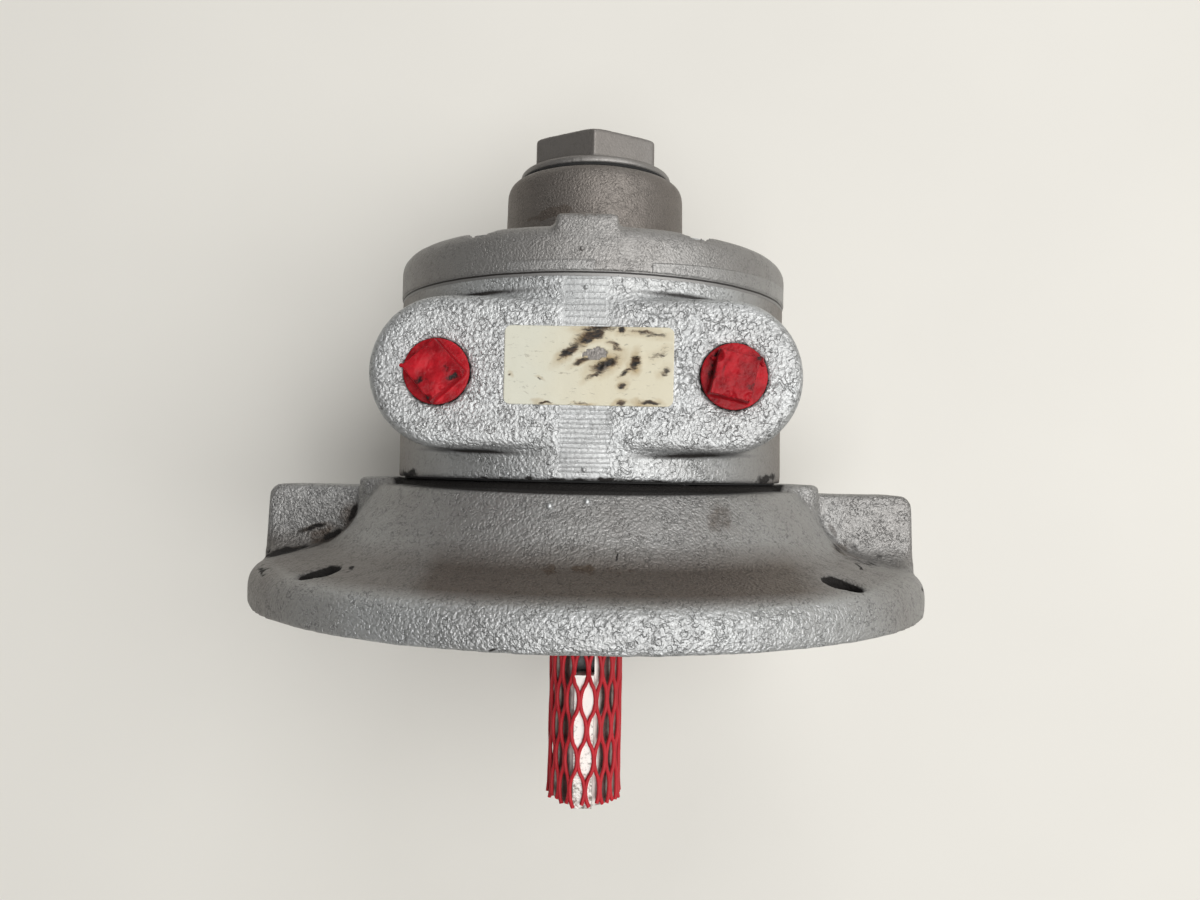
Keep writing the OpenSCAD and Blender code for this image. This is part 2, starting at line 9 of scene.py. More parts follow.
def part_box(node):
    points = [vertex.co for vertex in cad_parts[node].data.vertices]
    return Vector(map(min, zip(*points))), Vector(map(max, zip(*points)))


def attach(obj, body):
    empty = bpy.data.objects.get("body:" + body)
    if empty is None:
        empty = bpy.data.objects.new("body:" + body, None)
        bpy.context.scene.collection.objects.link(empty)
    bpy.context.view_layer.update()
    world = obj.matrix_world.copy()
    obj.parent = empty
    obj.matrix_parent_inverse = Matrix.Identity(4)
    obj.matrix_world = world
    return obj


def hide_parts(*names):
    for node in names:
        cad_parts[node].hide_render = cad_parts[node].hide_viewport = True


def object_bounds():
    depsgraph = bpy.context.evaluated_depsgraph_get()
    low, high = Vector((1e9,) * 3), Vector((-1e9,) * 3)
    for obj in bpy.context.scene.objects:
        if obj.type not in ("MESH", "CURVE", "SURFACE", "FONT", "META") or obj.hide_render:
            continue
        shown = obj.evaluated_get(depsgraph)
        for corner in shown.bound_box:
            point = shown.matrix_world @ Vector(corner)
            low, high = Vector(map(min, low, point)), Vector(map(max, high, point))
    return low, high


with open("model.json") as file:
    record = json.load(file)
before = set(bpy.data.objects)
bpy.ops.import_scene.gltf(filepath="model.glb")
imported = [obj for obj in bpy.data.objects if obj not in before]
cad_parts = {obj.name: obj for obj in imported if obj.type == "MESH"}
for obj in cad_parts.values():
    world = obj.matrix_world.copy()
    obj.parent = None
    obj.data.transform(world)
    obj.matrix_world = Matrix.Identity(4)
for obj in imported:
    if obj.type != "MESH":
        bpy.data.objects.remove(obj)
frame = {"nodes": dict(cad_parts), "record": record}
cadLow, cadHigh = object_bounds()
nodes = frame["nodes"]
mm = 0.001
scene = bpy.context.scene
scene.view_settings.view_transform = "Standard"
print("frame loaded:", len(nodes), "solids")

# Camera, from a fit to the flange, shaft and pad in the photo
cameraSet = {
    "place": (7.102, 31.151, 235.536),  # mm, above the pad
    "pitch": 1.48, "yaw": 1.11, "roll": 1.15,  # degrees off straight down
    "focalPx": 902.0, "imageWidth": 1200.0, "sensor": 36.0, "nearClip": 10.0,
}


def addCamera(s):
    data = bpy.data.cameras.new("photoCamera")
    data.sensor_width = s["sensor"]
    data.lens = s["sensor"] * s["focalPx"] / s["imageWidth"]
    data.clip_start = s["nearClip"] * mm
    camera = bpy.data.objects.new("photoCamera", data)
    scene.collection.objects.link(camera)
    turn = (Matrix.Rotation(math.radians(s["yaw"]), 4, "Y")
            @ Matrix.Rotation(math.radians(s["pitch"]), 4, "X")
            @ Matrix.Rotation(math.radians(s["roll"]), 4, "Z"))
    camera.matrix_world = Matrix.Translation(Vector(s["place"]) * mm) @ turn
    scene.camera = camera


addCamera(cameraSet)
print("camera placed")


# Shader helpers
def newMaterial(name):
    mat = bpy.data.materials.new(name)
    mat.use_nodes = True
    tree = mat.node_tree
    return mat, tree, tree.nodes["Principled BSDF"]


def addNode(tree, kind, settings=None, **inputs):  # an input is named, or i and its number
    node = tree.nodes.new(kind)
    for key, value in (settings or {}).items():
        setattr(node, key, value)
    for key, value in inputs.items():
        setInput(tree, node, key, value)
    return node


def setInput(tree, node, key, value):
    socket = node.inputs[int(key[1:])] if key[0] == "i" and key[1:].isdigit() else node.inputs[key]
    if isinstance(value, bpy.types.NodeSocket):
        tree.links.new(value, socket)
    else:
        socket.default_value = value


def objectCoords(tree):
    return addNode(tree, "ShaderNodeTexCoord").outputs["Object"]


def axes(tree, coords):
    return addNode(tree, "ShaderNodeSeparateXYZ", Vector=coords).outputs


def noiseTex(tree, coords, scale, detail=4.0, rough=0.5, distort=0.0):
    node = addNode(tree, "ShaderNodeTexNoise", Vector=coords, Scale=scale, Detail=detail,
                   Roughness=rough, Distortion=distort)
    return node.outputs["Fac"]


def ramp(tree, value, stops):
    node = addNode(tree, "ShaderNodeValToRGB", Fac=value)
    line = node.color_ramp
    while len(line.elements) < len(stops):
        line.elements.new(0.5)
    for element, (place, colour) in zip(line.elements, stops):
        element.position = place
        element.color = (*colour, 1)
    return node.outputs["Color"]


def mixColour(tree, fac, a, b, blend="MIX"):
    node = addNode(tree, "ShaderNodeMix", {"data_type": "RGBA", "blend_type": blend})
    for index, value in ((0, fac), (6, a), (7, b)):
        if isinstance(value, bpy.types.NodeSocket):
            tree.links.new(value, node.inputs[index])
        else:
            node.inputs[index].default_value = value if index == 0 else (*value, 1)
    return node.outputs[2]


def math2(tree, operation, a, b=0.0):
    return addNode(tree, "ShaderNodeMath", {"operation": operation}, i0=a, i1=b).outputs[0]


def plus(tree, a, b):
    return math2(tree, "ADD", a, b)


def minus(tree, a, b):
    return math2(tree, "SUBTRACT", a, b)


def times(tree, a, b):
    return math2(tree, "MULTIPLY", a, b)


def unsigned(tree, value):
    return math2(tree, "ABSOLUTE", value)


def most(tree, first, *others):
    for other in others:
        first = math2(tree, "MAXIMUM", first, other)
    return first


def distance(tree, a, b):
    pair = addNode(tree, "ShaderNodeCombineXYZ", X=a, Y=b).outputs[0]
    return addNode(tree, "ShaderNodeVectorMath", {"operation": "LENGTH"}, i0=pair).outputs["Value"]


def remap(tree, value, low, high, toLow=0.0, toHigh=1.0):
    node = addNode(tree, "ShaderNodeMapRange", i0=value, i1=low, i2=high, i3=toLow, i4=toHigh)
    return node.outputs[0]


def fade(tree, value, edge, toLow=0.0, toHigh=1.0):  # edge in mm
    return remap(tree, value, edge[0] * mm, edge[1] * mm, toLow, toHigh)


def bump(tree, height, depth, strength=1.0, normal=None):
    node = addNode(tree, "ShaderNodeBump", Height=height, Distance=depth, Strength=strength)
    if normal is not None:
        tree.links.new(normal, node.inputs["Normal"])
    return node.outputs["Normal"]


def wobble(tree, coords, scale, reach):
    cloud = addNode(tree, "ShaderNodeTexNoise", Vector=coords, Scale=scale, Detail=3.0).outputs["Color"]
    centred = addNode(tree, "ShaderNodeVectorMath", {"operation": "SUBTRACT"}, i0=cloud, i1=(0.5, 0.5, 0.5))
    return addNode(tree, "ShaderNodeVectorMath", {"operation": "MULTIPLY_ADD"}, i0=centred.outputs[0],
                   i1=(reach, reach, reach), i2=coords).outputs[0]


def blob(tree, coords, place, size, turn=0.0, core=0.3):
    local = addNode(tree, "ShaderNodeMapping", {"vector_type": "TEXTURE"}, Vector=coords,
                    Location=(place[0] * mm, place[1] * mm, 0), Rotation=(0, 0, math.radians(turn)),
                    Scale=(size[0] * mm, size[1] * mm, 1000)).outputs[0]  # so long in z that z plays no part
    far = addNode(tree, "ShaderNodeVectorMath", {"operation": "LENGTH"}, i0=local).outputs["Value"]
    return remap(tree, far, 1.0, core)


# A spot is x, y, half width and half height in mm, turn in degrees, strength
def smears(tree, coords, spots, grow=1.0):
    return most(tree, *(times(tree, blob(tree, coords, (x, y), (wide * grow, tall * grow), turn), strength)
                        for x, y, wide, tall, turn, strength in spots))


def ragged(tree, coords, mask, scale=420.0, cut=0.5):
    cloud = noiseTex(tree, coords, scale, 5.0, 0.65)
    return remap(tree, plus(tree, cloud, times(tree, mask, cut)), 0.62, 0.85)


def onFront(tree, z, mask):  # the pad side only
    return times(tree, mask, fade(tree, z, (0, 6)))


# Floor and soft light
stageSet = {
    "floorColour": (0.77, 0.755, 0.71), "floorShade": 0.97, "floorRough": 0.6, "floorShine": 0.2,
    "floorHalf": 3.0, "floorDrop": 0.4,  # m, mm below the flange rim
    "world": 0.10, "worldColour": (1.0, 0.97, 0.93), "aim": (0, 0.03, 0),
    "key": 41.5, "keyPlace": (1.1, 0.12, 1.85), "keySize": 1.9, "keyColour": (1.0, 0.985, 0.96),  # W, m
    "fill": 13.0, "fillPlace": (0.15, -0.62, 2.0), "fillSize": 0.9, "fillColour": (1, 1, 1),
    "back": 9.0, "backPlace": (0.35, 1.75, 1.15), "backSize": 1.1, "backColour": (1, 1, 1),
}


def addFloor(s):
    mesh = bpy.data.meshes.new("floor")
    half, level = s["floorHalf"], cadLow.z - s["floorDrop"] * mm
    corners = [(-half, -half, level), (half, -half, level), (half, half, level), (-half, half, level)]
    mesh.from_pydata(corners, [], [(0, 1, 2, 3)])
    floor = bpy.data.objects.new("floor", mesh)
    scene.collection.objects.link(floor)
    mat, tree, shader = newMaterial("paleFloor")
    cloud = noiseTex(tree, objectCoords(tree), 9.0, 3.0)
    shaded = tuple(c * s["floorShade"] for c in s["floorColour"])
    tree.links.new(ramp(tree, cloud, [(0.3, shaded), (0.7, s["floorColour"])]), shader.inputs["Base Color"])
    shader.inputs["Roughness"].default_value = s["floorRough"]
    shader.inputs["Specular IOR Level"].default_value = s["floorShine"]
    mesh.materials.append(mat)


def areaLight(name, place, aim, size, power, colour):
    data = bpy.data.lights.new(name, "AREA")
    data.shape = "RECTANGLE"
    data.size = data.size_y = size
    data.energy = power
    data.color = colour
    lamp = bpy.data.objects.new(name, data)
    scene.collection.objects.link(lamp)
    lamp.location = place
    lamp.rotation_mode = "QUATERNION"
    lamp.rotation_quaternion = (Vector(aim) - Vector(place)).to_track_quat("-Z", "Y")


def addLights(s):
    world = bpy.data.worlds.new("softRoom")
    scene.world = world
    world.use_nodes = True
    sky = world.node_tree.nodes["Background"]
    sky.inputs["Color"].default_value = (*s["worldColour"], 1)
    sky.inputs["Strength"].default_value = s["world"]
    for name, lamp in (("keyWindow", "key"), ("fillSky", "fill"), ("backSky", "back")):
        areaLight(name, s[lamp + "Place"], s["aim"], s[lamp + "Size"], s[lamp], s[lamp + "Colour"])


addFloor(stageSet)
addLights(stageSet)
print("floor and lights placed")

# Silver paint on the castings
paintSet = {
    "bright": (0.575, 0.59, 0.595), "dull": (0.50, 0.505, 0.505), "metal": 0.9, "gloss": 0.56,
    "film": (0.122, 0.090, 0.066), "grimeAndShade": (0.012, 0.010, 0.009), "grimeAndShadeRough": 0.85,
    "cloudScale": 48.0, "lumpScale": 1650.0, "veinScale": 760.0, "patchScale": 330.0, "grainScale": 1900.0,
    "crackHalf": 0.04, "crackDepth": 0.6, "crackShade": 0.46, "hollowShade": 0.80,
    "smearScale": 260.0, "smearReach": 2.4, "ledgeHeight": 0.26, "ledgeStrength": 0.7,  # mm
}


def castPaint(name, peel, depth, fine, masks):
    s = paintSet
    mat, tree, shader = newMaterial(name)
    coords = objectCoords(tree)
    rough = wobble(tree, coords, s["smearScale"], s["smearReach"] * mm)
    level, film, black, ledge = masks(tree, coords, rough, *axes(tree, coords))
    cloud = noiseTex(tree, coords, s["cloudScale"], 5.0, 0.6)
    tone = ramp(tree, cloud, [(0.3, s["dull"]), (0.65, s["bright"])])
    lumps = remap(tree, noiseTex(tree, coords, s["lumpScale"] / peel, 1.5, 0.45, 0.25), 0.30, 0.66)
    vein = noiseTex(tree, coords, s["veinScale"] / peel, 2.5, 0.5, 0.4)
    crack = remap(tree, unsigned(tree, minus(tree, vein, 0.5)), 0.0, s["crackHalf"])
    crack = most(tree, crack, remap(tree, noiseTex(tree, coords, s["patchScale"], 2.0), 0.47, 0.55))
    grain = noiseTex(tree, coords, s["grainScale"], 2.0, 0.55)
    height = times(tree, plus(tree, lumps, times(tree, crack, s["crackDepth"])), level)
    height = plus(tree, height, times(tree, grain, fine))
    # Painted shade: colour darkened in the low spots and cracks of the peel
    peelShade = times(tree, remap(tree, lumps, 0.0, 0.4, s["hollowShade"], 1.0),
                   remap(tree, crack, 0.0, 1.0, s["crackShade"], 1.0))
    peelShade = remap(tree, level, 0.0, 1.0, 1.0, peelShade)
    # film: brown film, and on some castings painted shade too (flange left rim, right fin, lug grooves and
    # stains, body sides, rear boss foot)
    colour = mixColour(tree, film, tone, s["film"])
    colour = mixColour(tree, 1.0, colour, peelShade, "MULTIPLY")
    gloss = remap(tree, grain, 0.25, 0.75, s["gloss"] - 0.06, s["gloss"] + 0.1)
    if black is None:
        shader.inputs["Metallic"].default_value = s["metal"]
    else:
        # black: grime spots, and painted shade in gaps, holes, creases and corners
        colour = mixColour(tree, black, colour, s["grimeAndShade"])
        gloss = most(tree, gloss, times(tree, black, s["grimeAndShadeRough"]))
        tree.links.new(remap(tree, black, 0.0, 1.0, s["metal"], 0.0), shader.inputs["Metallic"])
    tree.links.new(colour, shader.inputs["Base Color"])
    tree.links.new(gloss, shader.inputs["Roughness"])
    normal = bump(tree, height, depth * mm)
    if ledge is not None:
        normal = bump(tree, ledge, s["ledgeHeight"] * mm, s["ledgeStrength"], normal)
    tree.links.new(normal, shader.inputs["Normal"])
    return mat


# Flange casting: brown film on the slope and hub, grime spots and one hub stain; painted shade: black in the
# gap, the holes and the lug corners, darker lug grooves, left rim, right fin, lugs and hub foot
flangeDirt = {
    "peel": (0.76, 0.88), "peelEdge": (9.5, 7.0),  # hub and rim, edges in mm
    "slopeFrom": (7.6, 9.6), "slopeTo": (21, 12.5), "slopeFilm": 0.83,
    "wornLeft": (-31, -27), "wornLeftFilm": 0.72, "wornRight": (52, 42), "wornRightFilm": 0.6,
    "hubFrom": (12, 15), "hubFilm": 0.32, "rightFrom": (46, 66), "rightShade": 0.42,
    "leftFrom": (-40, -66), "leftShade": 0.56, "leftBelow": (13, 9),
    "gapFrom": (27.35, 27.65), "gapRadius": (50.5, 49.6),
    "lipFrom": (26.35, 26.8), "lipHalf": (46, 42), "lipBow": 1.1, "lipBowHalf": 44,
    "holePlace": 52.76, "holeEdge": (4.3, 4.1), "grooveBelow": (24, 18),
    "smears": [
        (-69.5, 8.3, 4.6, 0.55, -2, 0.75), (76.9, 6.2, 1.0, 0.6, -20, 0.8), (61.5, 11.6, 0.8, 0.6, 0, 0.8),
        (66, 11.5, 7.5, 0.9, -9, 0.5), (59.6, 14.5, 1.2, 3.4, 30, 0.55), (7.4, 14.8, 0.4, 0.8, 0, 0.8),
        (-13.4, 0.7, 1.3, 0.5, 25, 0.8), (-46, 11, 1.0, 0.7, 0, 0.7),
    ],
    "grooveShade": [
        (-59.8, 19.5, 1.3, 4.6, -20, 0.95), (-65, 13.7, 6.2, 1.5, 28, 1.0), (-75, 10.4, 8.2, 1.3, 12, 1.0),
        (-69.4, 16.1, 7.0, 1.2, 18, 0.9), (61.4, 18, 1.5, 4.4, 32, 0.5), (66, 14.2, 5.2, 1.5, -31, 0.5),
        (73, 12, 7.0, 1.2, -9, 0.4),
    ],
    "stainsAndShade": [
        (28.5, 22.4, 4.6, 4.8, 20, 0.85), (-66, 14.2, 12, 4.5, 14, 1.0), (-60, 18, 5, 7, 0, 0.9),
        (62, 13.5, 9, 3.2, -14, 0.85), (2, 12.6, 26, 3.0, 0, 0.95), (-75, 9.5, 6, 4, 0, 0.7),
    ],
}


def flangeMasks(tree, coords, rough, x, y, z):
    s = flangeDirt
    level = fade(tree, y, s["peelEdge"], *s["peel"])
    roughX = axes(tree, rough)[0]
    paler = math2(tree, "MINIMUM", fade(tree, roughX, s["wornLeft"], s["wornLeftFilm"]),
                 fade(tree, roughX, s["wornRight"], s["wornRightFilm"]))
    slope = times(tree, fade(tree, y, s["slopeFrom"]), fade(tree, y, s["slopeTo"]))
    slope = times(tree, times(tree, slope, paler), s["slopeFilm"])
    hub = fade(tree, y, s["hubFrom"], 0.0, s["hubFilm"])
    # Painted shade: the right fin is darker, damping the lamp's highlight on it
    right = fade(tree, x, s["rightFrom"], 0.0, s["rightShade"])
    # Painted shade: the left end of the rim is darker, away from the light
    left = times(tree, fade(tree, x, s["leftFrom"], 0.0, s["leftShade"]), fade(tree, y, s["leftBelow"]))
    patchy = remap(tree, noiseTex(tree, coords, 300.0), 0.35, 0.65, 0.55, 1.0)
    # A real stain on the hub, and painted shade over the lugs, their inner corners, the hub foot and the left
    # rim
    stainsAndShade = onFront(tree, z, times(tree, smears(tree, rough, s["stainsAndShade"]), patchy))
    # Painted shade: darker film along the grooves where the lugs meet the hub, lower down only
    low = fade(tree, z, s["grooveBelow"])
    grooveShade = smears(tree, wobble(tree, coords, 200.0, 1.2 * mm), s["grooveShade"])
    grooveShade = onFront(tree, z, times(tree, grooveShade, low))
    # film: brown film on the slope and hub, with the painted shade of the left rim, right fin, blobs and
    # grooves
    film = most(tree, slope, hub, right, left, stainsAndShade, grooveShade)

    # Painted shade: the hub's top inside the gap under the body is black
    gapShade = times(tree, fade(tree, y, s["gapFrom"]), fade(tree, distance(tree, x, z), s["gapRadius"]))
    # Painted shade with some dirt: black along the hub's top edge just below the gap, curving up at the ends
    across = math2(tree, "DIVIDE", x, s["lipBowHalf"] * mm)
    bowed = minus(tree, y, times(tree, times(tree, across, across), s["lipBow"] * mm))
    lipShadeAndDirt = onFront(tree, z, fade(tree, bowed, s["lipFrom"]))
    lipShadeAndDirt = times(tree, lipShadeAndDirt, fade(tree, unsigned(tree, x), s["lipHalf"]))
    # Painted shade: the insides of the four flange holes are black
    holeX = minus(tree, unsigned(tree, x), s["holePlace"] * mm)
    holeZ = minus(tree, unsigned(tree, z), s["holePlace"] * mm)
    holeShade = fade(tree, distance(tree, holeX, holeZ), s["holeEdge"])
    spots = onFront(tree, z, ragged(tree, coords, smears(tree, rough, s["smears"])))
    # Painted shade: ragged black in the lug corners along the same grooves
    corners = times(tree, ragged(tree, coords, grooveShade, 260.0, 0.42), low)
    return level, film, most(tree, gapShade, lipShadeAndDirt, holeShade, spots, corners), None


# Body: painted shade darkening its sides, painted shadows as black lines in the creases of the pad, and black
# round the ports that is painted shadow with dirt
bodyDirt = {
    "padEdge": (34, 44), "ladderHalf": (4.4, 6.6), "quietPeel": 0.3,  # mm
    "sideFrom": (30, 47), "sideBelow": (47, 42), "sideShade": 0.74,
    "tearPlace": (2.2, 56.0), "tearSize": (5, 3), "tearCore": 0.7, "tearFilm": 0.62,
    "portPlace": (30.9, 51.7), "portEdge": (7.6, 7.0),
    "smears": [(-41.5, 30.2, 4.5, 1.5, 0, 0.85), (42, 30.6, 4.8, 1.7, 15, 0.9), (0, 29.6, 46, 0.7, 0, 0.6)],
    "creaseShadows": [
        (-24.5, 69.05, 20, 1.05, 1.6, 1.0), (21.5, 69.1, 14, 0.8, -2, 0.95),
        (-23, 35.3, 17, 0.8, -2, 1.0), (23, 35.3, 17, 0.9, 2, 1.0),
    ],
}


def bodyMasks(tree, coords, rough, x, y, z):
    s = bodyDirt
    half, quiet = unsigned(tree, x), s["quietPeel"]
    level = times(tree, fade(tree, z, s["padEdge"], quiet), fade(tree, half, s["ladderHalf"], quiet))
    # Painted shade: the body darkens down its sides where it curves away
    sides = times(tree, fade(tree, half, s["sideFrom"], 0.0, s["sideShade"]), fade(tree, z, s["sideBelow"]))
    tear = times(tree, blob(tree, coords, s["tearPlace"], s["tearSize"], core=s["tearCore"]), s["tearFilm"])
    spots = ragged(tree, coords, smears(tree, rough, s["smears"]))
    # Painted shadow: black lines along the pad's upper and lower edges, where it meets the body
    creaseShadow = smears(tree, wobble(tree, coords, 180.0, 0.5 * mm), s["creaseShadows"])
    # Black ring round each plug: painted shadow at the hole's edge, with dirt
    portX, portY = minus(tree, half, s["portPlace"][0] * mm), minus(tree, y, s["portPlace"][1] * mm)
    ring = ragged(tree, coords, fade(tree, distance(tree, portX, portY), s["portEdge"]), 520.0, 0.36)
    return level, most(tree, sides, tear), onFront(tree, z, most(tree, spots, creaseShadow, ring)), None


# Rear cover: film on the boss, dark smears round the boss foot that are dirt with painted shade in the fillet,
# and the thin cast ledges along its front edge
rearDirt = {
    "peel": 0.55, "leftFrom": (-17.2, -17.0), "leftTo": (1.8, 1.6), "leftEdge": (75.75, 75.35),  # mm
    "rightFrom": (13.7, 13.9), "rightEdge": (75.62, 75.42), "rightPivot": 13.8, "rightSlope": -0.05,
    "ledgeFront": (8, 10), "ledgeFilm": 0.78,
    "bossFrom": (84, 90), "coverFilm": 0.45, "bossFilm": 0.74, "smearDarkness": 0.85,
    "smears": [(-10.8, 93.4, 11, 2.4, 5, 1.0), (0, 85.5, 20, 1.2, 0, 0.5), (10, 84.6, 4, 0.8, -4, 0.8)],
}


def rearMasks(tree, coords, rough, x, y, z):
    s = rearDirt
    left = times(tree, fade(tree, x, s["leftFrom"]), fade(tree, x, s["leftTo"]))
    left = times(tree, fade(tree, y, s["leftEdge"]), left)
    slant = plus(tree, y, times(tree, minus(tree, x, s["rightPivot"] * mm), s["rightSlope"]))
    right = times(tree, fade(tree, slant, s["rightEdge"]), fade(tree, x, s["rightFrom"]))
    ledge = times(tree, most(tree, left, right), fade(tree, z, s["ledgeFront"]))
    # Dark smears round the boss foot: dirt, and painted shade in the fillet
    spots = ragged(tree, coords, smears(tree, rough, s["smears"]), 200.0, 0.5)
    film = onFront(tree, z, times(tree, spots, s["smearDarkness"]))
    film = most(tree, film, fade(tree, y, s["bossFrom"], s["coverFilm"], s["bossFilm"]))
    film = times(tree, film, remap(tree, ledge, 0.0, 1.0, 1.0, s["ledgeFilm"]))
    return s["peel"], film, None, ledge


capDirt = {"peel": 0.22, "hexEdge": (108, 106), "hexFilm": 0.62, "collarFilm": 0.45}  # mm


def capMasks(tree, coords, rough, x, y, z):
    s = capDirt
    return s["peel"], fade(tree, y, s["hexEdge"], s["hexFilm"], s["collarFilm"]), None, None


# Castings, softened from the solids
castSet = {  # voxel, lump, depth and the crisp band along the axis in mm
    "drive_end_cover": {"voxel": 0.92, "soften": 3, "lump": 0.09,
                        "peel": 1.05, "depth": 0.19, "fine": 0.62, "masks": flangeMasks},
    "body": {"voxel": 0.74, "soften": 2, "crisp": (71.7, 74), "lump": 0.06,
             "peel": 1.2, "depth": 0.15, "fine": 0.2, "masks": bodyMasks},
    "dead_end_cover": {"voxel": 0.64, "soften": 3, "crisp": (72, 74.4), "lump": 0.05,
                       "peel": 0.8, "depth": 0.12, "fine": 0.85, "masks": rearMasks},
    "end_cap": {"voxel": 0.42, "soften": 3, "lump": 0.04,
                "peel": 0.8, "depth": 0.06, "fine": 0.6, "masks": capMasks},
}
castPaints = {}


def linkMesh(name, mesh):
    obj = bpy.data.objects.new(name, mesh)
    scene.collection.objects.link(obj)
    return obj


def meshObject(name, work):
    mesh = bpy.data.meshes.new(name)
    work.to_mesh(mesh)
    work.free()
    return linkMesh(name, mesh)


def bake(obj):
    graph = bpy.context.evaluated_depsgraph_get()
    mesh = bpy.data.meshes.new_from_object(obj.evaluated_get(graph))
    name = obj.name
    bpy.data.objects.remove(obj)
    mesh.name = name
    return linkMesh(name, mesh)


def mergedCopy(node, name):
    work = bmesh.new()
    work.from_mesh(nodes[node].data)
    bmesh.ops.remove_doubles(work, verts=work.verts, dist=0.01 * mm)
    return meshObject(name, work)


def remeshed(obj, voxel, soften, crisp=None):
    grid = obj.modifiers.new("grid", "REMESH")
    grid.mode = "VOXEL"
    grid.voxel_size = voxel * mm
    grid.use_smooth_shade = True
    obj = bake(obj)
    work = bmesh.new()
    work.from_mesh(obj.data)
    moving = [vert for vert in work.verts if crisp is None or not crisp[0] * mm < vert.co.y < crisp[1] * mm]
    for step in range(soften):
        bmesh.ops.smooth_vert(work, verts=moving, factor=0.5, use_axis_x=True, use_axis_y=True, use_axis_z=True)
    work.to_mesh(obj.data)
    work.free()
    obj.data.update()
    return obj


def roughen(obj, node, lump, scale=0.11, fineScale=3.1, fineShare=0.5):
    low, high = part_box(node)
    normals = [vert.normal.copy() for vert in obj.data.vertices]
    flat = []
    for vert, normal in zip(obj.data.vertices, normals):
        place = vert.co / mm * scale
        shift = noise.noise(place) + fineShare * noise.noise(place * fineScale)
        moved = vert.co + normal * shift * lump * mm
        flat.extend(min(max(moved[i], low[i]), high[i]) for i in range(3))
    obj.data.vertices.foreach_set("co", flat)
    obj.data.update()


def setFinish(obj, mat):
    obj.data.materials.clear()
    obj.data.materials.append(mat)


def casting(node, s):
    obj = remeshed(mergedCopy(node, node + "_cast"), s["voxel"], s["soften"], s.get("crisp"))
    roughen(obj, node, s["lump"])
    castPaints[node] = castPaint(node + "Paint", s["peel"], s["depth"], s["fine"], s["masks"])
    setFinish(obj, castPaints[node])
    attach(obj, "housing")
    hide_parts(node)
    print(node, "cast with", len(obj.data.polygons), "faces")


for castNode, castWork in castSet.items():
    casting(castNode, castWork)


# Steel, plastic and rubber finishes
def steel(name, colour, gloss, metal=1.0):
    mat, tree, shader = newMaterial(name)
    coords = objectCoords(tree)
    cloud = noiseTex(tree, coords, 300.0, 4.0, 0.6)
    tone = mixColour(tree, cloud, tuple(c * 0.82 for c in colour), colour)
    tree.links.new(tone, shader.inputs["Base Color"])
    shader.inputs["Metallic"].default_value = metal
    tree.links.new(remap(tree, cloud, 0.2, 0.8, gloss - 0.06, gloss + 0.08), shader.inputs["Roughness"])
    tree.links.new(bump(tree, noiseTex(tree, coords, 1400.0, 2.0), 0.01 * mm, 0.5), shader.inputs["Normal"])
    return mat


def plastic(name, colour, gloss, shine=0.3):
    mat, tree, shader = newMaterial(name)
    coords = objectCoords(tree)
    cloud = noiseTex(tree, coords, 320.0, 4.0, 0.6)
    tone = ramp(tree, cloud, [(0.3, tuple(c * 0.8 for c in colour)), (0.65, colour)])
    tree.links.new(tone, shader.inputs["Base Color"])
    shader.inputs["Specular IOR Level"].default_value = shine
    tree.links.new(remap(tree, cloud, 0.2, 0.8, gloss - 0.1, gloss + 0.12), shader.inputs["Roughness"])
    tree.links.new(bump(tree, noiseTex(tree, coords, 1500.0, 3.0), 0.05 * mm, 0.5), shader.inputs["Normal"])
    return mat


# Scuffed red of the plugs
plugPaint = {
    "red": (0.36, 0.009, 0.016), "dark": 0.6, "light": 1.35, "shine": 0.16,
    "stain": (0.085, 0.007, 0.010), "stainGrow": 1.8, "dirt": (0.016, 0.010, 0.010),
    "dentDepth": 0.4, "scratchDepth": 0.12,  # mm
    "smears": [
        (-27.0, 50.4, 1.7, 1.0, 35, 0.9), (-32.2, 45.7, 0.9, 0.7, 0, 1.0), (-33.6, 49.2, 2.6, 1.6, 20, 0.42),
        (-28.4, 52.0, 1.4, 1.2, 0, 0.45), (34.4, 49.4, 1.9, 1.3, -20, 0.5), (28.3, 52.4, 0.35, 2.6, -10, 0.55),
        (35.4, 55.2, 1.3, 0.8, 30, 0.85), (27.2, 56.2, 0.9, 0.5, 35, 1.0), (26.1, 52.0, 0.9, 3.2, -12, 0.5),
    ],
}


def plugRed(s):
    mat, tree, shader = newMaterial("plugRed")
    coords = objectCoords(tree)
    cloud = noiseTex(tree, coords, 240.0, 5.0, 0.6)
    dark, light = (tuple(c * k for c in s["red"]) for k in (s["dark"], s["light"]))
    tone = ramp(tree, cloud, [(0.34, dark), (0.64, light)])
    rough = wobble(tree, coords, 420.0, 1.6 * mm)
    dirt = ragged(tree, coords, smears(tree, rough, s["smears"]), 700.0, 0.45)
    patchy = remap(tree, cloud, 0.35, 0.65, 0.2, 0.75)
    stain = times(tree, smears(tree, rough, s["smears"], s["stainGrow"]), patchy)
    tone = mixColour(tree, stain, tone, s["stain"])
    tree.links.new(mixColour(tree, dirt, tone, s["dirt"]), shader.inputs["Base Color"])
    shader.inputs["Specular IOR Level"].default_value = s["shine"]
    tree.links.new(remap(tree, cloud, 0.25, 0.75, 0.24, 0.5), shader.inputs["Roughness"])
    dents = bump(tree, noiseTex(tree, coords, 250.0, 3.0), s["dentDepth"] * mm, 0.7)
    scratch = noiseTex(tree, coords, 900.0, 4.0, 0.6, 1.2)
    tree.links.new(bump(tree, scratch, s["scratchDepth"] * mm, 0.8, dents), shader.inputs["Normal"])
    return mat


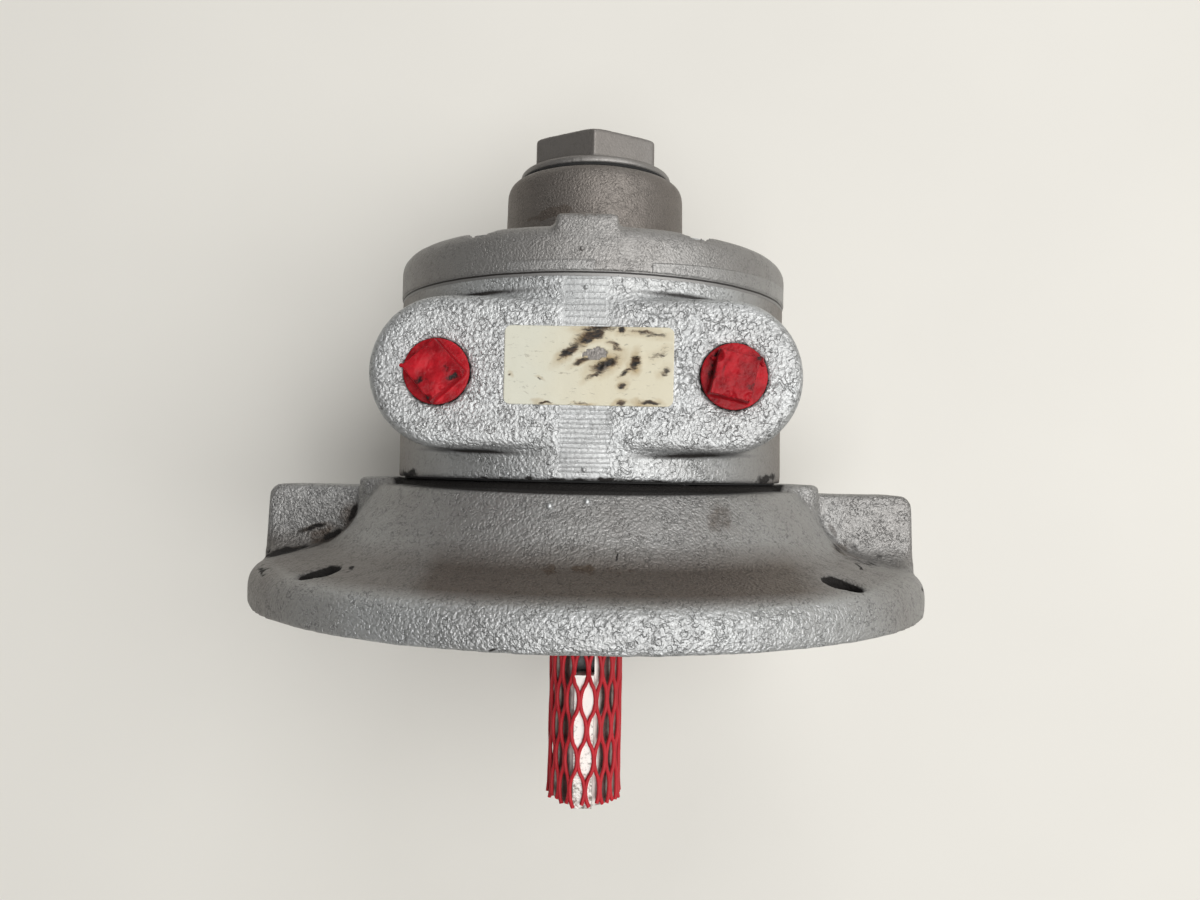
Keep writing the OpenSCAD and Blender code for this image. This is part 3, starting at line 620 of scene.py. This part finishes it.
# Shaft and key, seen through the net
shaftPaint = {
    "dark": (0.17, 0.145, 0.13), "light": (0.36, 0.33, 0.315),
    "slot": (0.008, 0.007, 0.007), "slotPast": (0.2, 0.1),  # mm past the side of the key
    "slotBelow": (7.4, 7.2), "slotAbove": (3, 4),
    "paler": (0.80, 0.76, 0.72), "highlightMetal": 0.15,
    "highlightHalf": (4.5, 3.7), "highlightWander": 1.2, "highlightFront": (0, 1),
}


def shaftSteel(s, keySide):
    mat, tree, shader = newMaterial("shaftSteel")
    coords = objectCoords(tree)
    x, y, z = axes(tree, coords)
    half = unsigned(tree, x)
    cloud = noiseTex(tree, coords, 420.0, 5.0, 0.65)
    tone = ramp(tree, cloud, [(0.35, s["dark"]), (0.6, s["light"])])
    # Painted shade: the keyway, where the key doesn't fill it, is black
    slot = remap(tree, half, *(keySide + past * mm for past in s["slotPast"]))
    slot = times(tree, slot, times(tree, fade(tree, z, s["slotBelow"]), fade(tree, z, s["slotAbove"])))
    # Painted highlight: a pale, less metallic band down the shaft's front on either side of the keyway
    paler = fade(tree, plus(tree, half, times(tree, cloud, s["highlightWander"] * mm)), s["highlightHalf"])
    paler = times(tree, paler, fade(tree, z, s["highlightFront"]))
    tone = mixColour(tree, paler, tone, s["paler"])
    tree.links.new(mixColour(tree, slot, tone, s["slot"]), shader.inputs["Base Color"])
    metal = remap(tree, most(tree, slot, paler), 0.0, 1.0, 1.0, s["highlightMetal"])
    tree.links.new(metal, shader.inputs["Metallic"])
    tree.links.new(remap(tree, cloud, 0.3, 0.7, 0.5, 0.3), shader.inputs["Roughness"])
    tree.links.new(bump(tree, noiseTex(tree, coords, 1500.0, 3.0), 0.05 * mm, 0.6), shader.inputs["Normal"])
    return mat


keyPaint = {"bright": (0.90, 0.87, 0.83), "speck": (0.20, 0.165, 0.14), "metal": 0.2,
            "upper": -0.16, "lower": 0.10, "side": 0.08, "middle": 1.5}  # specks at each end and side, mm


def keySteel(s, low, high):
    mat, tree, shader = newMaterial("keySteel")
    coords = objectCoords(tree)
    x, y, z = axes(tree, coords)
    cloud = noiseTex(tree, coords, 900.0, 5.0, 0.7)
    dull = plus(tree, remap(tree, y, high.y, low.y, s["upper"], s["lower"]),
                remap(tree, unsigned(tree, x), s["middle"] * mm, high.x, 0.0, s["side"]))
    speck = remap(tree, plus(tree, cloud, dull), 0.52, 0.72)
    tree.links.new(mixColour(tree, speck, s["bright"], s["speck"]), shader.inputs["Base Color"])
    shader.inputs["Metallic"].default_value = s["metal"]
    tree.links.new(remap(tree, cloud, 0.3, 0.7, 0.5, 0.65), shader.inputs["Roughness"])
    tree.links.new(bump(tree, cloud, 0.05 * mm, 0.5), shader.inputs["Normal"])
    return mat


finishes = {
    "silver_casting": steel("silverCasting", paintSet["bright"], 0.46, 0.9),
    "gasket": plastic("gasketBlack", (0.02, 0.02, 0.02), 0.8),
    "dark_steel": steel("darkSteel", (0.12, 0.12, 0.125), 0.45),
    "bare_steel": steel("bareSteel", (0.60, 0.585, 0.57), 0.3),
    "red_plastic": plugRed(plugPaint),
    "red_net": plastic("netRed", (0.53, 0.026, 0.037), 0.45, 0.2),
    "label_paper": plastic("labelPaper", (0.80, 0.75, 0.58), 0.5),
    "seal_rubber": plastic("sealRubber", (0.025, 0.025, 0.025), 0.6),
    "rotor_iron": steel("rotorIron", (0.3, 0.3, 0.31), 0.4),
    "vane_laminate": plastic("vaneLaminate", (0.17, 0.09, 0.04), 0.6),
    "cage_brass": steel("cageBrass", (0.65, 0.48, 0.2), 0.35),
}
print("finishes mixed:", len(finishes))


# Sweeps and scatters
def newTree(name, sizes):
    tree = bpy.data.node_groups.new(name, "GeometryNodeTree")
    face = tree.interface
    face.new_socket("Geometry", in_out="INPUT", socket_type="NodeSocketGeometry")
    for label, kind in sizes:
        face.new_socket(label, in_out="INPUT", socket_type=kind)
    face.new_socket("Material", in_out="INPUT", socket_type="NodeSocketMaterial")
    face.new_socket("Geometry", in_out="OUTPUT", socket_type="NodeSocketGeometry")
    return tree, tree.nodes.new("NodeGroupInput").outputs


def endTree(tree, start, shape):
    smooth = addNode(tree, "GeometryNodeSetShadeSmooth", Geometry=shape)
    whole = addNode(tree, "GeometryNodeRealizeInstances", Geometry=smooth.outputs[0])
    paint = addNode(tree, "GeometryNodeSetMaterial", Geometry=whole.outputs[0], Material=start["Material"])
    tree.links.new(paint.outputs[0], tree.nodes.new("NodeGroupOutput").inputs[0])
    return tree


def sweepTree():
    tree, start = newTree("sweepStrands", [("Radius", "NodeSocketFloat"), ("Sides", "NodeSocketInt")])
    ring = addNode(tree, "GeometryNodeCurvePrimitiveCircle", Radius=start["Radius"], Resolution=start["Sides"])
    tube = addNode(tree, "GeometryNodeCurveToMesh", Curve=start["Geometry"])
    tree.links.new(ring.outputs[0], tube.inputs["Profile Curve"])
    tube.inputs["Fill Caps"].default_value = True
    return endTree(tree, start, tube.outputs[0])


def pipTree():
    tree, start = newTree("scatterPips", [("Radius", "NodeSocketFloat")])
    points = addNode(tree, "GeometryNodeMeshToPoints", Mesh=start["Geometry"])
    ball = addNode(tree, "GeometryNodeMeshIcoSphere", Radius=start["Radius"], Subdivisions=4)
    copies = addNode(tree, "GeometryNodeInstanceOnPoints", Points=points.outputs[0], Instance=ball.outputs[0])
    return endTree(tree, start, copies.outputs[0])


def runTree(obj, tree, values):
    modifier = obj.modifiers.new("nodes", "NODES")
    modifier.node_group = tree
    for item in tree.interface.items_tree:
        if item.item_type == "SOCKET" and item.in_out == "INPUT" and item.name in values:
            modifier[item.identifier] = values[item.name]
    return bake(obj)


def curveObject(name, lines, closed=False):
    data = bpy.data.curves.new(name, "CURVE")
    data.dimensions = "3D"
    for line in lines:
        spline = data.splines.new("POLY")
        spline.points.add(len(line) - 1)
        for point, (x, y, z, thick) in zip(spline.points, line):
            point.co = (x * mm, y * mm, z * mm, 1)
            point.radius = thick
        spline.use_cyclic_u = closed
    obj = bpy.data.objects.new(name, data)
    scene.collection.objects.link(obj)
    return obj


sweeps = sweepTree()
pips = pipTree()


def sweep(name, lines, radius, finish, closed=False, sides=10):
    values = {"Radius": radius * mm, "Sides": sides, "Material": finish}
    return runTree(curveObject(name, lines, closed), sweeps, values)


# Ladder ridges and casting pips on the body
ridgeSet = {
    "upper": (62.2, 72.0, 1.42, -4.3, 4.3, 1.45),  # from, to, pitch, left, right in mm, weight
    "lower": (31.4, 45.2, 1.0, -5.0, 5.8, 1.0),
    "radius": 0.19, "sink": 0.03, "cuts": 12, "endThick": 0.3, "uneven": 0.3, "tilt": 0.012,
    "strengths": (0.45, 0.8, 1.0, 1.2), "pitchSpread": (0.9, 1.1), "seed": 5,
    "padTop": 48.8, "bodyRadius": 48.6, "padBand": (37.0, 66.6),
    "pipRadius": 0.55, "dropRadius": 0.7,
    "bodyPips": [(-0.1, 69.9, 48.6), (-7.1, 33.1, 48.1), (0.25, 31.8, 48.6)],
    "rearPips": [(-1.05, 77.9, 48.85)],
    "hubPips": [(-6.3, 24.4, 55.0), (1.2, 25.4, 54.7)],
}


def surfaceHeight(x, y, s):
    curved = math.sqrt(s["bodyRadius"] ** 2 - x * x)
    if s["padBand"][0] < y < s["padBand"][1]:
        return max(curved, s["padTop"])
    return curved


def ladder(s):
    pick = random.Random(s["seed"])
    cuts, uneven = s["cuts"], s["uneven"]
    lines = []
    for low, high, pitch, left, right, weight in (s["upper"], s["lower"]):
        y = low
        while y < high:
            start, stop = left + pick.uniform(-uneven, uneven), right + pick.uniform(-uneven, uneven)
            tilt = pick.uniform(-s["tilt"], s["tilt"])
            strong = pick.choice(s["strengths"])
            line = []
            for step in range(cuts + 1):
                x = start + (stop - start) * step / cuts
                end = s["endThick"] if step in (0, cuts) else 1.0
                line.append((x, y + tilt * x, surfaceHeight(x, y, s) - s["sink"], strong * end * weight))
            lines.append(line)
            y += pitch * pick.uniform(*s["pitchSpread"])
    obj = sweep("ladderRidges", lines, s["radius"], castPaints["body"])
    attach(obj, "housing")


def scatterPips(s):
    for name, radius, finish in (("bodyPips", s["pipRadius"], castPaints["body"]),
                                 ("rearPips", s["pipRadius"], castPaints["dead_end_cover"]),
                                 ("hubPips", s["dropRadius"], finishes["silver_casting"])):
        mesh = bpy.data.meshes.new(name)
        mesh.from_pydata([Vector(spot) * mm for spot in s[name]], [], [])
        obj = runTree(linkMesh(name, mesh), pips, {"Radius": radius * mm, "Material": finish})
        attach(obj, "housing")


ladder(ridgeSet)
scatterPips(ridgeSet)
print("ridges and pips placed")

# Net sleeve on the shaft
netSet = {
    "strands": 32, "radius": 0.5, "base": 8.95, "top": -1.6, "bottom": -51.7, "step": 0.5, "seed": 11,  # mm
    "sway": 4.8, "halfWave": 7.35, "firstKnot": 4.25, "pinch": 0.75,  # degrees, mm
    "turn": 5.2, "twist": 0.06, "twistFrom": -26, "drift": 1.2,  # degrees, degrees a mm
    "keyTop": 9.95, "keyHalf": 2.38, "keyFrom": -17.0, "keyTo": -21.5, "press": 0.05,
    "unevenEnd": 0.9, "flare": 0.35, "flareLength": 5, "waver": 0.07,
    "thick": 0.9, "knotThick": 0.3, "thickSpread": 0.10,
}


def netRadius(angle, cover, s):  # the net is stretched like a tent over the key
    angle = abs((angle + 180) % 360 - 180)
    reach = s["keyTop"] + s["radius"] - s["press"]
    corner = math.degrees(math.atan2(s["keyHalf"], reach))
    cornerRadius = math.hypot(s["keyHalf"], reach)
    touch = corner + math.degrees(math.acos(s["base"] / cornerRadius))
    if angle < corner:
        tented = reach / math.cos(math.radians(angle))
    elif angle < touch:
        tented = s["base"] / math.cos(math.radians(touch - angle))
    else:
        tented = s["base"]
    return s["base"] + (tented - s["base"]) * cover


def netPoint(strand, y, bottom, flare, s):
    side = 1 if strand % 2 else -1
    wave = math.cos(math.pi * (y - s["bottom"] - s["firstKnot"]) / s["halfWave"])
    shaped = math.copysign(abs(wave) ** s["pinch"], wave)
    drift = s["drift"] * noise.noise(Vector((strand * 0.7, y * 0.07, 3.0)))
    angle = (strand + 0.5) * 360 / s["strands"] + side * s["sway"] * shaped + drift
    angle = angle + s["turn"] + s["twist"] * (y - s["twistFrom"])
    cover = min(max((s["keyFrom"] - y) / (s["keyFrom"] - s["keyTo"]), 0), 1)
    cover = cover * cover * (3 - 2 * cover)
    loose = min(max((bottom + s["flareLength"] - y) / s["flareLength"], 0), 1) ** 2
    waver = s["waver"] * noise.noise(Vector((strand, y * 0.2, 9.0)))
    radius = netRadius(angle, cover, s) + flare * loose + waver
    thin = s["thickSpread"] * noise.noise(Vector((strand * 2.0, y * 0.5, 1.0)))
    turn = math.radians(angle)
    return radius * math.sin(turn), y, radius * math.cos(turn), s["thick"] + s["knotThick"] * wave ** 4 + thin


def netSleeve(s):
    pick = random.Random(s["seed"])
    lines = []
    for strand in range(s["strands"]):
        bottom = s["bottom"] + pick.uniform(0.0, s["unevenEnd"])
        flare = pick.uniform(0.0, s["flare"])
        count = int((s["top"] - bottom) / s["step"]) + 1
        heights = [max(s["top"] - step * s["step"], bottom) for step in range(count + 1)]
        lines.append([netPoint(strand, y, bottom, flare, s) for y in heights])
    obj = sweep("netStrands", lines, s["radius"], finishes["red_net"])
    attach(obj, "rotor_group")
    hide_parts("shaft_net_sleeve")


netSleeve(netSet)
print("net sleeve swept")

# Port plugs with chewed square heads
plugSet = {
    "collar": (6.95, 48.7, 49.4), "thread": (6.5, 41.0, 48.8),  # radius, from, to in mm
    "headFrom": 49.2, "headTo": 53.0, "spread": 1.05, "voxel": 0.2, "soften": 3,
    "sag": 0.12, "sagScale": 0.55, "pitting": 0.05, "pitScale": 1.9, "biteScale": 1.7,
    "left": {
        "node": "port_plug_left", "centre": (-30.9, 51.7),
        "corners": [(0.1, 6.35), (-6.5, 0.6), (-0.5, -6.55), (5.7, -0.9), (6.1, 0.1)],
        "bites": [(-26.2, 50.2, 53.0, 1.5, 0.8), (-32.0, 45.4, 53.0, 1.3, 1.0),  # x, y, z, radius, depth
                  (-28.6, 47.6, 53.0, 1.6, 0.5), (-31.8, 51.6, 53.0, 2.6, 0.25)],
        "lumps": [(-37.4, 52.4, 52.6, 0.5), (-31.9, 51.6, 52.8, 0.42), (-25.2, 50.7, 52.0, 0.5)],
    },
    "right": {
        "node": "port_plug_right", "centre": (30.9, 51.7),
        "corners": [(-3.3, 5.3), (-5.3, -3.7), (2.9, -5.5), (4.9, 3.5)],
        "bites": [(27.0, 55.6, 53.0, 1.4, 1.6), (29.5, 47.0, 53.0, 1.6, 0.6), (33.6, 46.8, 53.0, 1.4, 0.7)],
        "lumps": [(36.0, 55.0, 51.4, 0.75), (36.5, 54.0, 51.0, 0.5),
                  (31.4, 52.1, 52.8, 0.45), (26.3, 55.3, 50.2, 0.5)],
    },
}


def closeLoft(work, lower, upper):
    count = len(lower)
    for i in range(count):
        j = (i + 1) % count
        work.faces.new((lower[i], lower[j], upper[j], upper[i]))
    work.faces.new(upper)
    work.faces.new(list(reversed(lower)))


def ringPrism(work, radius, low, high, centre, sides=96):
    lower, upper = [], []
    for step in range(sides):
        turn = 2 * math.pi * step / sides
        x, y = centre[0] + radius * math.cos(turn), centre[1] + radius * math.sin(turn)
        lower.append(work.verts.new((x * mm, y * mm, low * mm)))
        upper.append(work.verts.new((x * mm, y * mm, high * mm)))
    closeLoft(work, lower, upper)


def plugHead(work, corners, s, centre):
    loops = []
    for spread, z in ((s["spread"], s["headFrom"]), (1.0, s["headTo"])):
        points = [(centre[0] + x * spread, centre[1] + y * spread) for x, y in corners]
        loops.append([work.verts.new((x * mm, y * mm, z * mm)) for x, y in points])
    closeLoft(work, *loops)


def chew(obj, s, bites):
    flat = []
    for vert in obj.data.vertices:
        place = vert.co / mm
        for x, y, z, radius, depth in bites:
            near = (place - Vector((x, y, z))).length / radius
            if near < 1:
                place.z -= depth * (1 - near * near) * (0.75 + 0.5 * noise.noise(place * s["biteScale"]))
        if place.z > s["headFrom"]:
            sag = s["sag"] * noise.noise(place * s["sagScale"])
            place.z += sag + s["pitting"] * noise.noise(place * s["pitScale"])
        flat.extend(place * mm)
    obj.data.vertices.foreach_set("co", flat)
    obj.data.update()


def plug(s, one):
    work = bmesh.new()
    for radius, low, high in (s["collar"], s["thread"]):
        ringPrism(work, radius, low, high, one["centre"])
    plugHead(work, one["corners"], s, one["centre"])
    for x, y, z, radius in one["lumps"]:
        spot = Matrix.Translation(Vector((x, y, z)) * mm)
        bmesh.ops.create_icosphere(work, subdivisions=3, radius=radius * mm, matrix=spot)
    bmesh.ops.recalc_face_normals(work, faces=work.faces)
    obj = remeshed(meshObject(one["node"] + "_worn", work), s["voxel"], s["soften"])
    chew(obj, s, one["bites"])
    setFinish(obj, finishes["red_plastic"])
    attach(obj, "housing")
    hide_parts(one["node"])


plug(plugSet, plugSet["left"])
plug(plugSet, plugSet["right"])
print("plugs made")

# Worn label, bare of print
labelSet = {
    "middle": (0.8, 53.4), "size": (35.3, 16.5), "thick": 0.08, "level": 48.93,  # mm
    "corner": 1.5, "cell": 0.28, "wave": 0.03, "waveScale": 0.35, "crumpleScale": 0.9, "tearRagged": 0.45,
    "tear": (2.2, 56.0, 2.4, 1.25),  # x, y, half width, half height
    "folds": [(4.6, 53.7, 3.6, 2.0, 0.34), (-3.4, 56.2, 2.6, 1.6, 0.22),  # the same and the lift
              (11.4, 55.0, 1.6, 2.4, 0.26), (0.4, 58.8, 3.0, 1.6, 0.16)],
    "cream": (0.64, 0.60, 0.465), "pale": (0.62, 0.615, 0.52), "paleEdge": (-6, 8), "paleWander": 12,
    "stain": (0.36, 0.25, 0.11), "stainGrow": 1.5, "brown": (0.085, 0.05, 0.025), "soot": (0.012, 0.010, 0.008),
    "strokeTurn": -38, "strokeStretch": (0.45, 1.7, 1), "rough": 0.42, "shine": 0.35,
    "smears": [
        (1.2, 59.8, 6.0, 1.7, 32, 1.0), (-3.4, 56.4, 4.2, 1.3, 42, 1.0), (2.6, 61.2, 5.0, 0.9, 4, 0.85),
        (7.2, 61.0, 1.2, 0.9, 0, 1.0), (4.4, 53.8, 4.4, 1.9, 28, 1.0), (-0.6, 54.4, 2.6, 0.8, 20, 0.95),
        (10.4, 54.2, 1.3, 2.6, -12, 1.0), (12.8, 60.4, 5.0, 1.0, -6, 0.6), (7.7, 49.6, 1.6, 0.9, 40, 0.85),
        (15.4, 56.1, 3.0, 1.3, 25, 0.62), (16.6, 52.4, 1.8, 1.0, 40, 0.66), (6.4, 57.6, 2.8, 0.9, -28, 0.7),
        (7.6, 45.7, 1.6, 0.7, 4, 0.9), (13.2, 45.9, 3.0, 0.8, 0, 0.85), (-8.0, 45.5, 2.4, 0.5, 0, 0.8),
        (-0.2, 45.5, 2.4, 0.4, 0, 0.7), (-15.2, 51.2, 0.5, 0.5, 0, 0.8), (1.6, 51.4, 2.8, 0.8, 30, 0.7),
        (-9.2, 50.6, 0.9, 0.3, -25, 0.7), (8.6, 52.2, 2.4, 0.7, 35, 0.8),
    ],
}


def labelFilm(s):
    mat, tree, shader = newMaterial("labelFilm")
    coords = objectCoords(tree)
    cloud = noiseTex(tree, coords, 130.0, 4.0, 0.55)
    wander = plus(tree, axes(tree, coords)[0], times(tree, cloud, s["paleWander"] * mm))
    tone = mixColour(tree, fade(tree, wander, s["paleEdge"]), s["pale"], s["cream"])
    rough = wobble(tree, coords, 380.0, 2.2 * mm)
    spots = smears(tree, rough, s["smears"])
    wide = smears(tree, wobble(tree, coords, 300.0, 3.2 * mm), s["smears"], s["stainGrow"])
    patchy = remap(tree, noiseTex(tree, coords, 210.0, 4.0, 0.6), 0.35, 0.65, 0.25, 0.9)
    tone = mixColour(tree, times(tree, wide, patchy), tone, s["stain"])
    strokes = addNode(tree, "ShaderNodeMapping", Vector=rough, Rotation=(0, 0, math.radians(s["strokeTurn"])),
                      Scale=s["strokeStretch"]).outputs[0]
    tone = mixColour(tree, ragged(tree, strokes, spots, 620.0, 0.42), tone, s["brown"])
    tone = mixColour(tree, ragged(tree, strokes, spots, 1000.0, 0.32), tone, s["soot"])
    tree.links.new(tone, shader.inputs["Base Color"])
    shader.inputs["Roughness"].default_value = s["rough"]
    shader.inputs["Specular IOR Level"].default_value = s["shine"]
    tree.links.new(bump(tree, noiseTex(tree, coords, 420.0, 4.0, 0.6), 0.12 * mm, 0.6), shader.inputs["Normal"])
    return mat


def labelPoint(x, y, s):  # rounded at the corners, lifted at the folds
    wide, tall = s["size"]
    over = Vector((max(abs(x) - wide / 2 + s["corner"], 0), max(abs(y) - tall / 2 + s["corner"], 0)))
    if over.length > s["corner"]:
        over = over * (s["corner"] / over.length)
        x = math.copysign(wide / 2 - s["corner"] + over.x, x)
        y = math.copysign(tall / 2 - s["corner"] + over.y, y)
    x, y = x + s["middle"][0], y + s["middle"][1]
    lift = s["wave"] * noise.noise(Vector((x * s["waveScale"], y * s["waveScale"], 2.0)))
    crumple = abs(noise.noise(Vector((x * s["crumpleScale"], y * s["crumpleScale"], 7.0))))
    for foldX, foldY, foldWide, foldTall, high in s["folds"]:
        near = math.hypot((x - foldX) / foldWide, (y - foldY) / foldTall)
        if near < 1:
            lift += high * (1 - near) * (0.5 + crumple * 1.6)
    return x * mm, y * mm, (s["level"] + lift) * mm


def torn(corners, s):
    tearX, tearY, tearWide, tearTall = s["tear"]
    x = sum(vert.co.x for vert in corners) / 4 / mm
    y = sum(vert.co.y for vert in corners) / 4 / mm
    edge = s["tearRagged"] * noise.noise(Vector((x * s["crumpleScale"], y * s["crumpleScale"], 4.0)))
    return math.hypot((x - tearX) / tearWide, (y - tearY) / tearTall) + edge <= 1


def wornLabel(s):
    wide, tall = s["size"]
    columns, rows = round(wide / s["cell"]), round(tall / s["cell"])
    work = bmesh.new()
    grid = []
    for j in range(rows + 1):
        places = [(wide * (i / columns - 0.5), tall * (j / rows - 0.5)) for i in range(columns + 1)]
        grid.append([work.verts.new(labelPoint(x, y, s)) for x, y in places])
    for j in range(rows):
        for i in range(columns):
            corners = (grid[j][i], grid[j][i + 1], grid[j + 1][i + 1], grid[j + 1][i])
            if not torn(corners, s):
                work.faces.new(corners)
    bmesh.ops.delete(work, geom=[vert for vert in work.verts if not vert.link_faces], context="VERTS")
    obj = meshObject("labelSheet", work)
    film = obj.modifiers.new("film", "SOLIDIFY")
    film.thickness = s["thick"] * mm
    film.offset = -1.0
    obj = bake(obj)
    obj.data.polygons.foreach_set("use_smooth", [True] * len(obj.data.polygons))
    setFinish(obj, labelFilm(s))
    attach(obj, "housing")
    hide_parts("label")


wornLabel(labelSet)
print("label made")

# Squeezed gasket under the end cap
capGasketSet = {
    "radius": 19.25, "thick": 0.5, "seat": 0.45, "points": 240, "seed": 4,  # mm
    "wander": 0.28, "ripple": 0.12, "swell": 0.45, "flat": 0.85, "lobes": 7.0,
}


def capGasket(s):
    low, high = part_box("end_cap_gasket")
    middle = low.y / mm + s["seat"]
    line = []
    for step in range(s["points"]):
        turn = 2 * math.pi * step / s["points"]
        place = Vector((math.cos(turn), math.sin(turn), 0)) * s["lobes"]
        wander = noise.noise(place) * s["wander"] + noise.noise(place * 3.0) * s["ripple"]
        thick = 1.0 + s["swell"] * noise.noise(place * 1.6 + Vector((0, 0, s["seed"])))
        radius = min(s["radius"] + wander, high.x / mm - s["thick"] * thick)
        line.append((radius * math.cos(turn), middle, radius * math.sin(turn), thick * s["flat"]))
    obj = sweep("capGasketRing", [line], s["thick"], finishes["gasket"], True)
    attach(obj, "housing")
    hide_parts("end_cap_gasket")


capGasket(capGasketSet)
print("cap gasket made")

# Painted-over gasket line between body and rear cover
jointSet = {
    "outer": 48.58, "inner": 46.2, "from": 72.3, "to": 73.9, "sides": 256,  # mm
    "line": (72.90, 73.25), "blur": 0.05, "wander": 0.16, "tone": (0.33, 0.325, 0.32), "rough": 0.6,
}


def jointPaint(s):
    mat, tree, shader = newMaterial("jointPaint")
    y = axes(tree, wobble(tree, objectCoords(tree), 240.0, s["wander"] * mm))[1]
    low, high = s["line"]
    line = times(tree, fade(tree, y, (low - s["blur"], low)), fade(tree, y, (high + s["blur"], high)))
    tree.links.new(mixColour(tree, line, s["tone"], paintSet["grimeAndShade"]), shader.inputs["Base Color"])
    tree.links.new(remap(tree, line, 0.0, 1.0, paintSet["metal"], 0.0), shader.inputs["Metallic"])
    shader.inputs["Roughness"].default_value = s["rough"]
    return mat


def jointRing(s):
    work = bmesh.new()
    turns = [2 * math.pi * step / s["sides"] for step in range(s["sides"])]
    loops = []
    section = [(s["outer"], s["from"]), (s["outer"], s["to"]), (s["inner"], s["to"]), (s["inner"], s["from"])]
    for radius, y in section:
        places = [(radius * math.cos(turn) * mm, y * mm, radius * math.sin(turn) * mm) for turn in turns]
        loops.append([work.verts.new(place) for place in places])
    for loop, other in zip(loops, loops[1:] + loops[:1]):
        for i in range(s["sides"]):
            j = (i + 1) % s["sides"]
            work.faces.new((loop[i], loop[j], other[j], other[i]))
    bmesh.ops.recalc_face_normals(work, faces=work.faces)
    obj = meshObject("jointRing", work)
    setFinish(obj, jointPaint(s))
    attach(obj, "housing")
    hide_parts("dead_gasket")


jointRing(jointSet)
print("joint line made")

# Finishes on the solids that stay as they are
keyLow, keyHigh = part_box("shaft_key")
ownFinish = {
    "shaft": shaftSteel(shaftPaint, keyHigh.x),
    "shaft_key": keySteel(keyPaint, keyLow, keyHigh),
    # Painted shade: the steel dowels in the gap take the black rubber finish
    "drive_dowels": finishes["gasket"],
}
for part in frame["record"]["subparts"]:
    setFinish(nodes[part["node"]], ownFinish.get(part["node"], finishes[part["material_slot"]]))
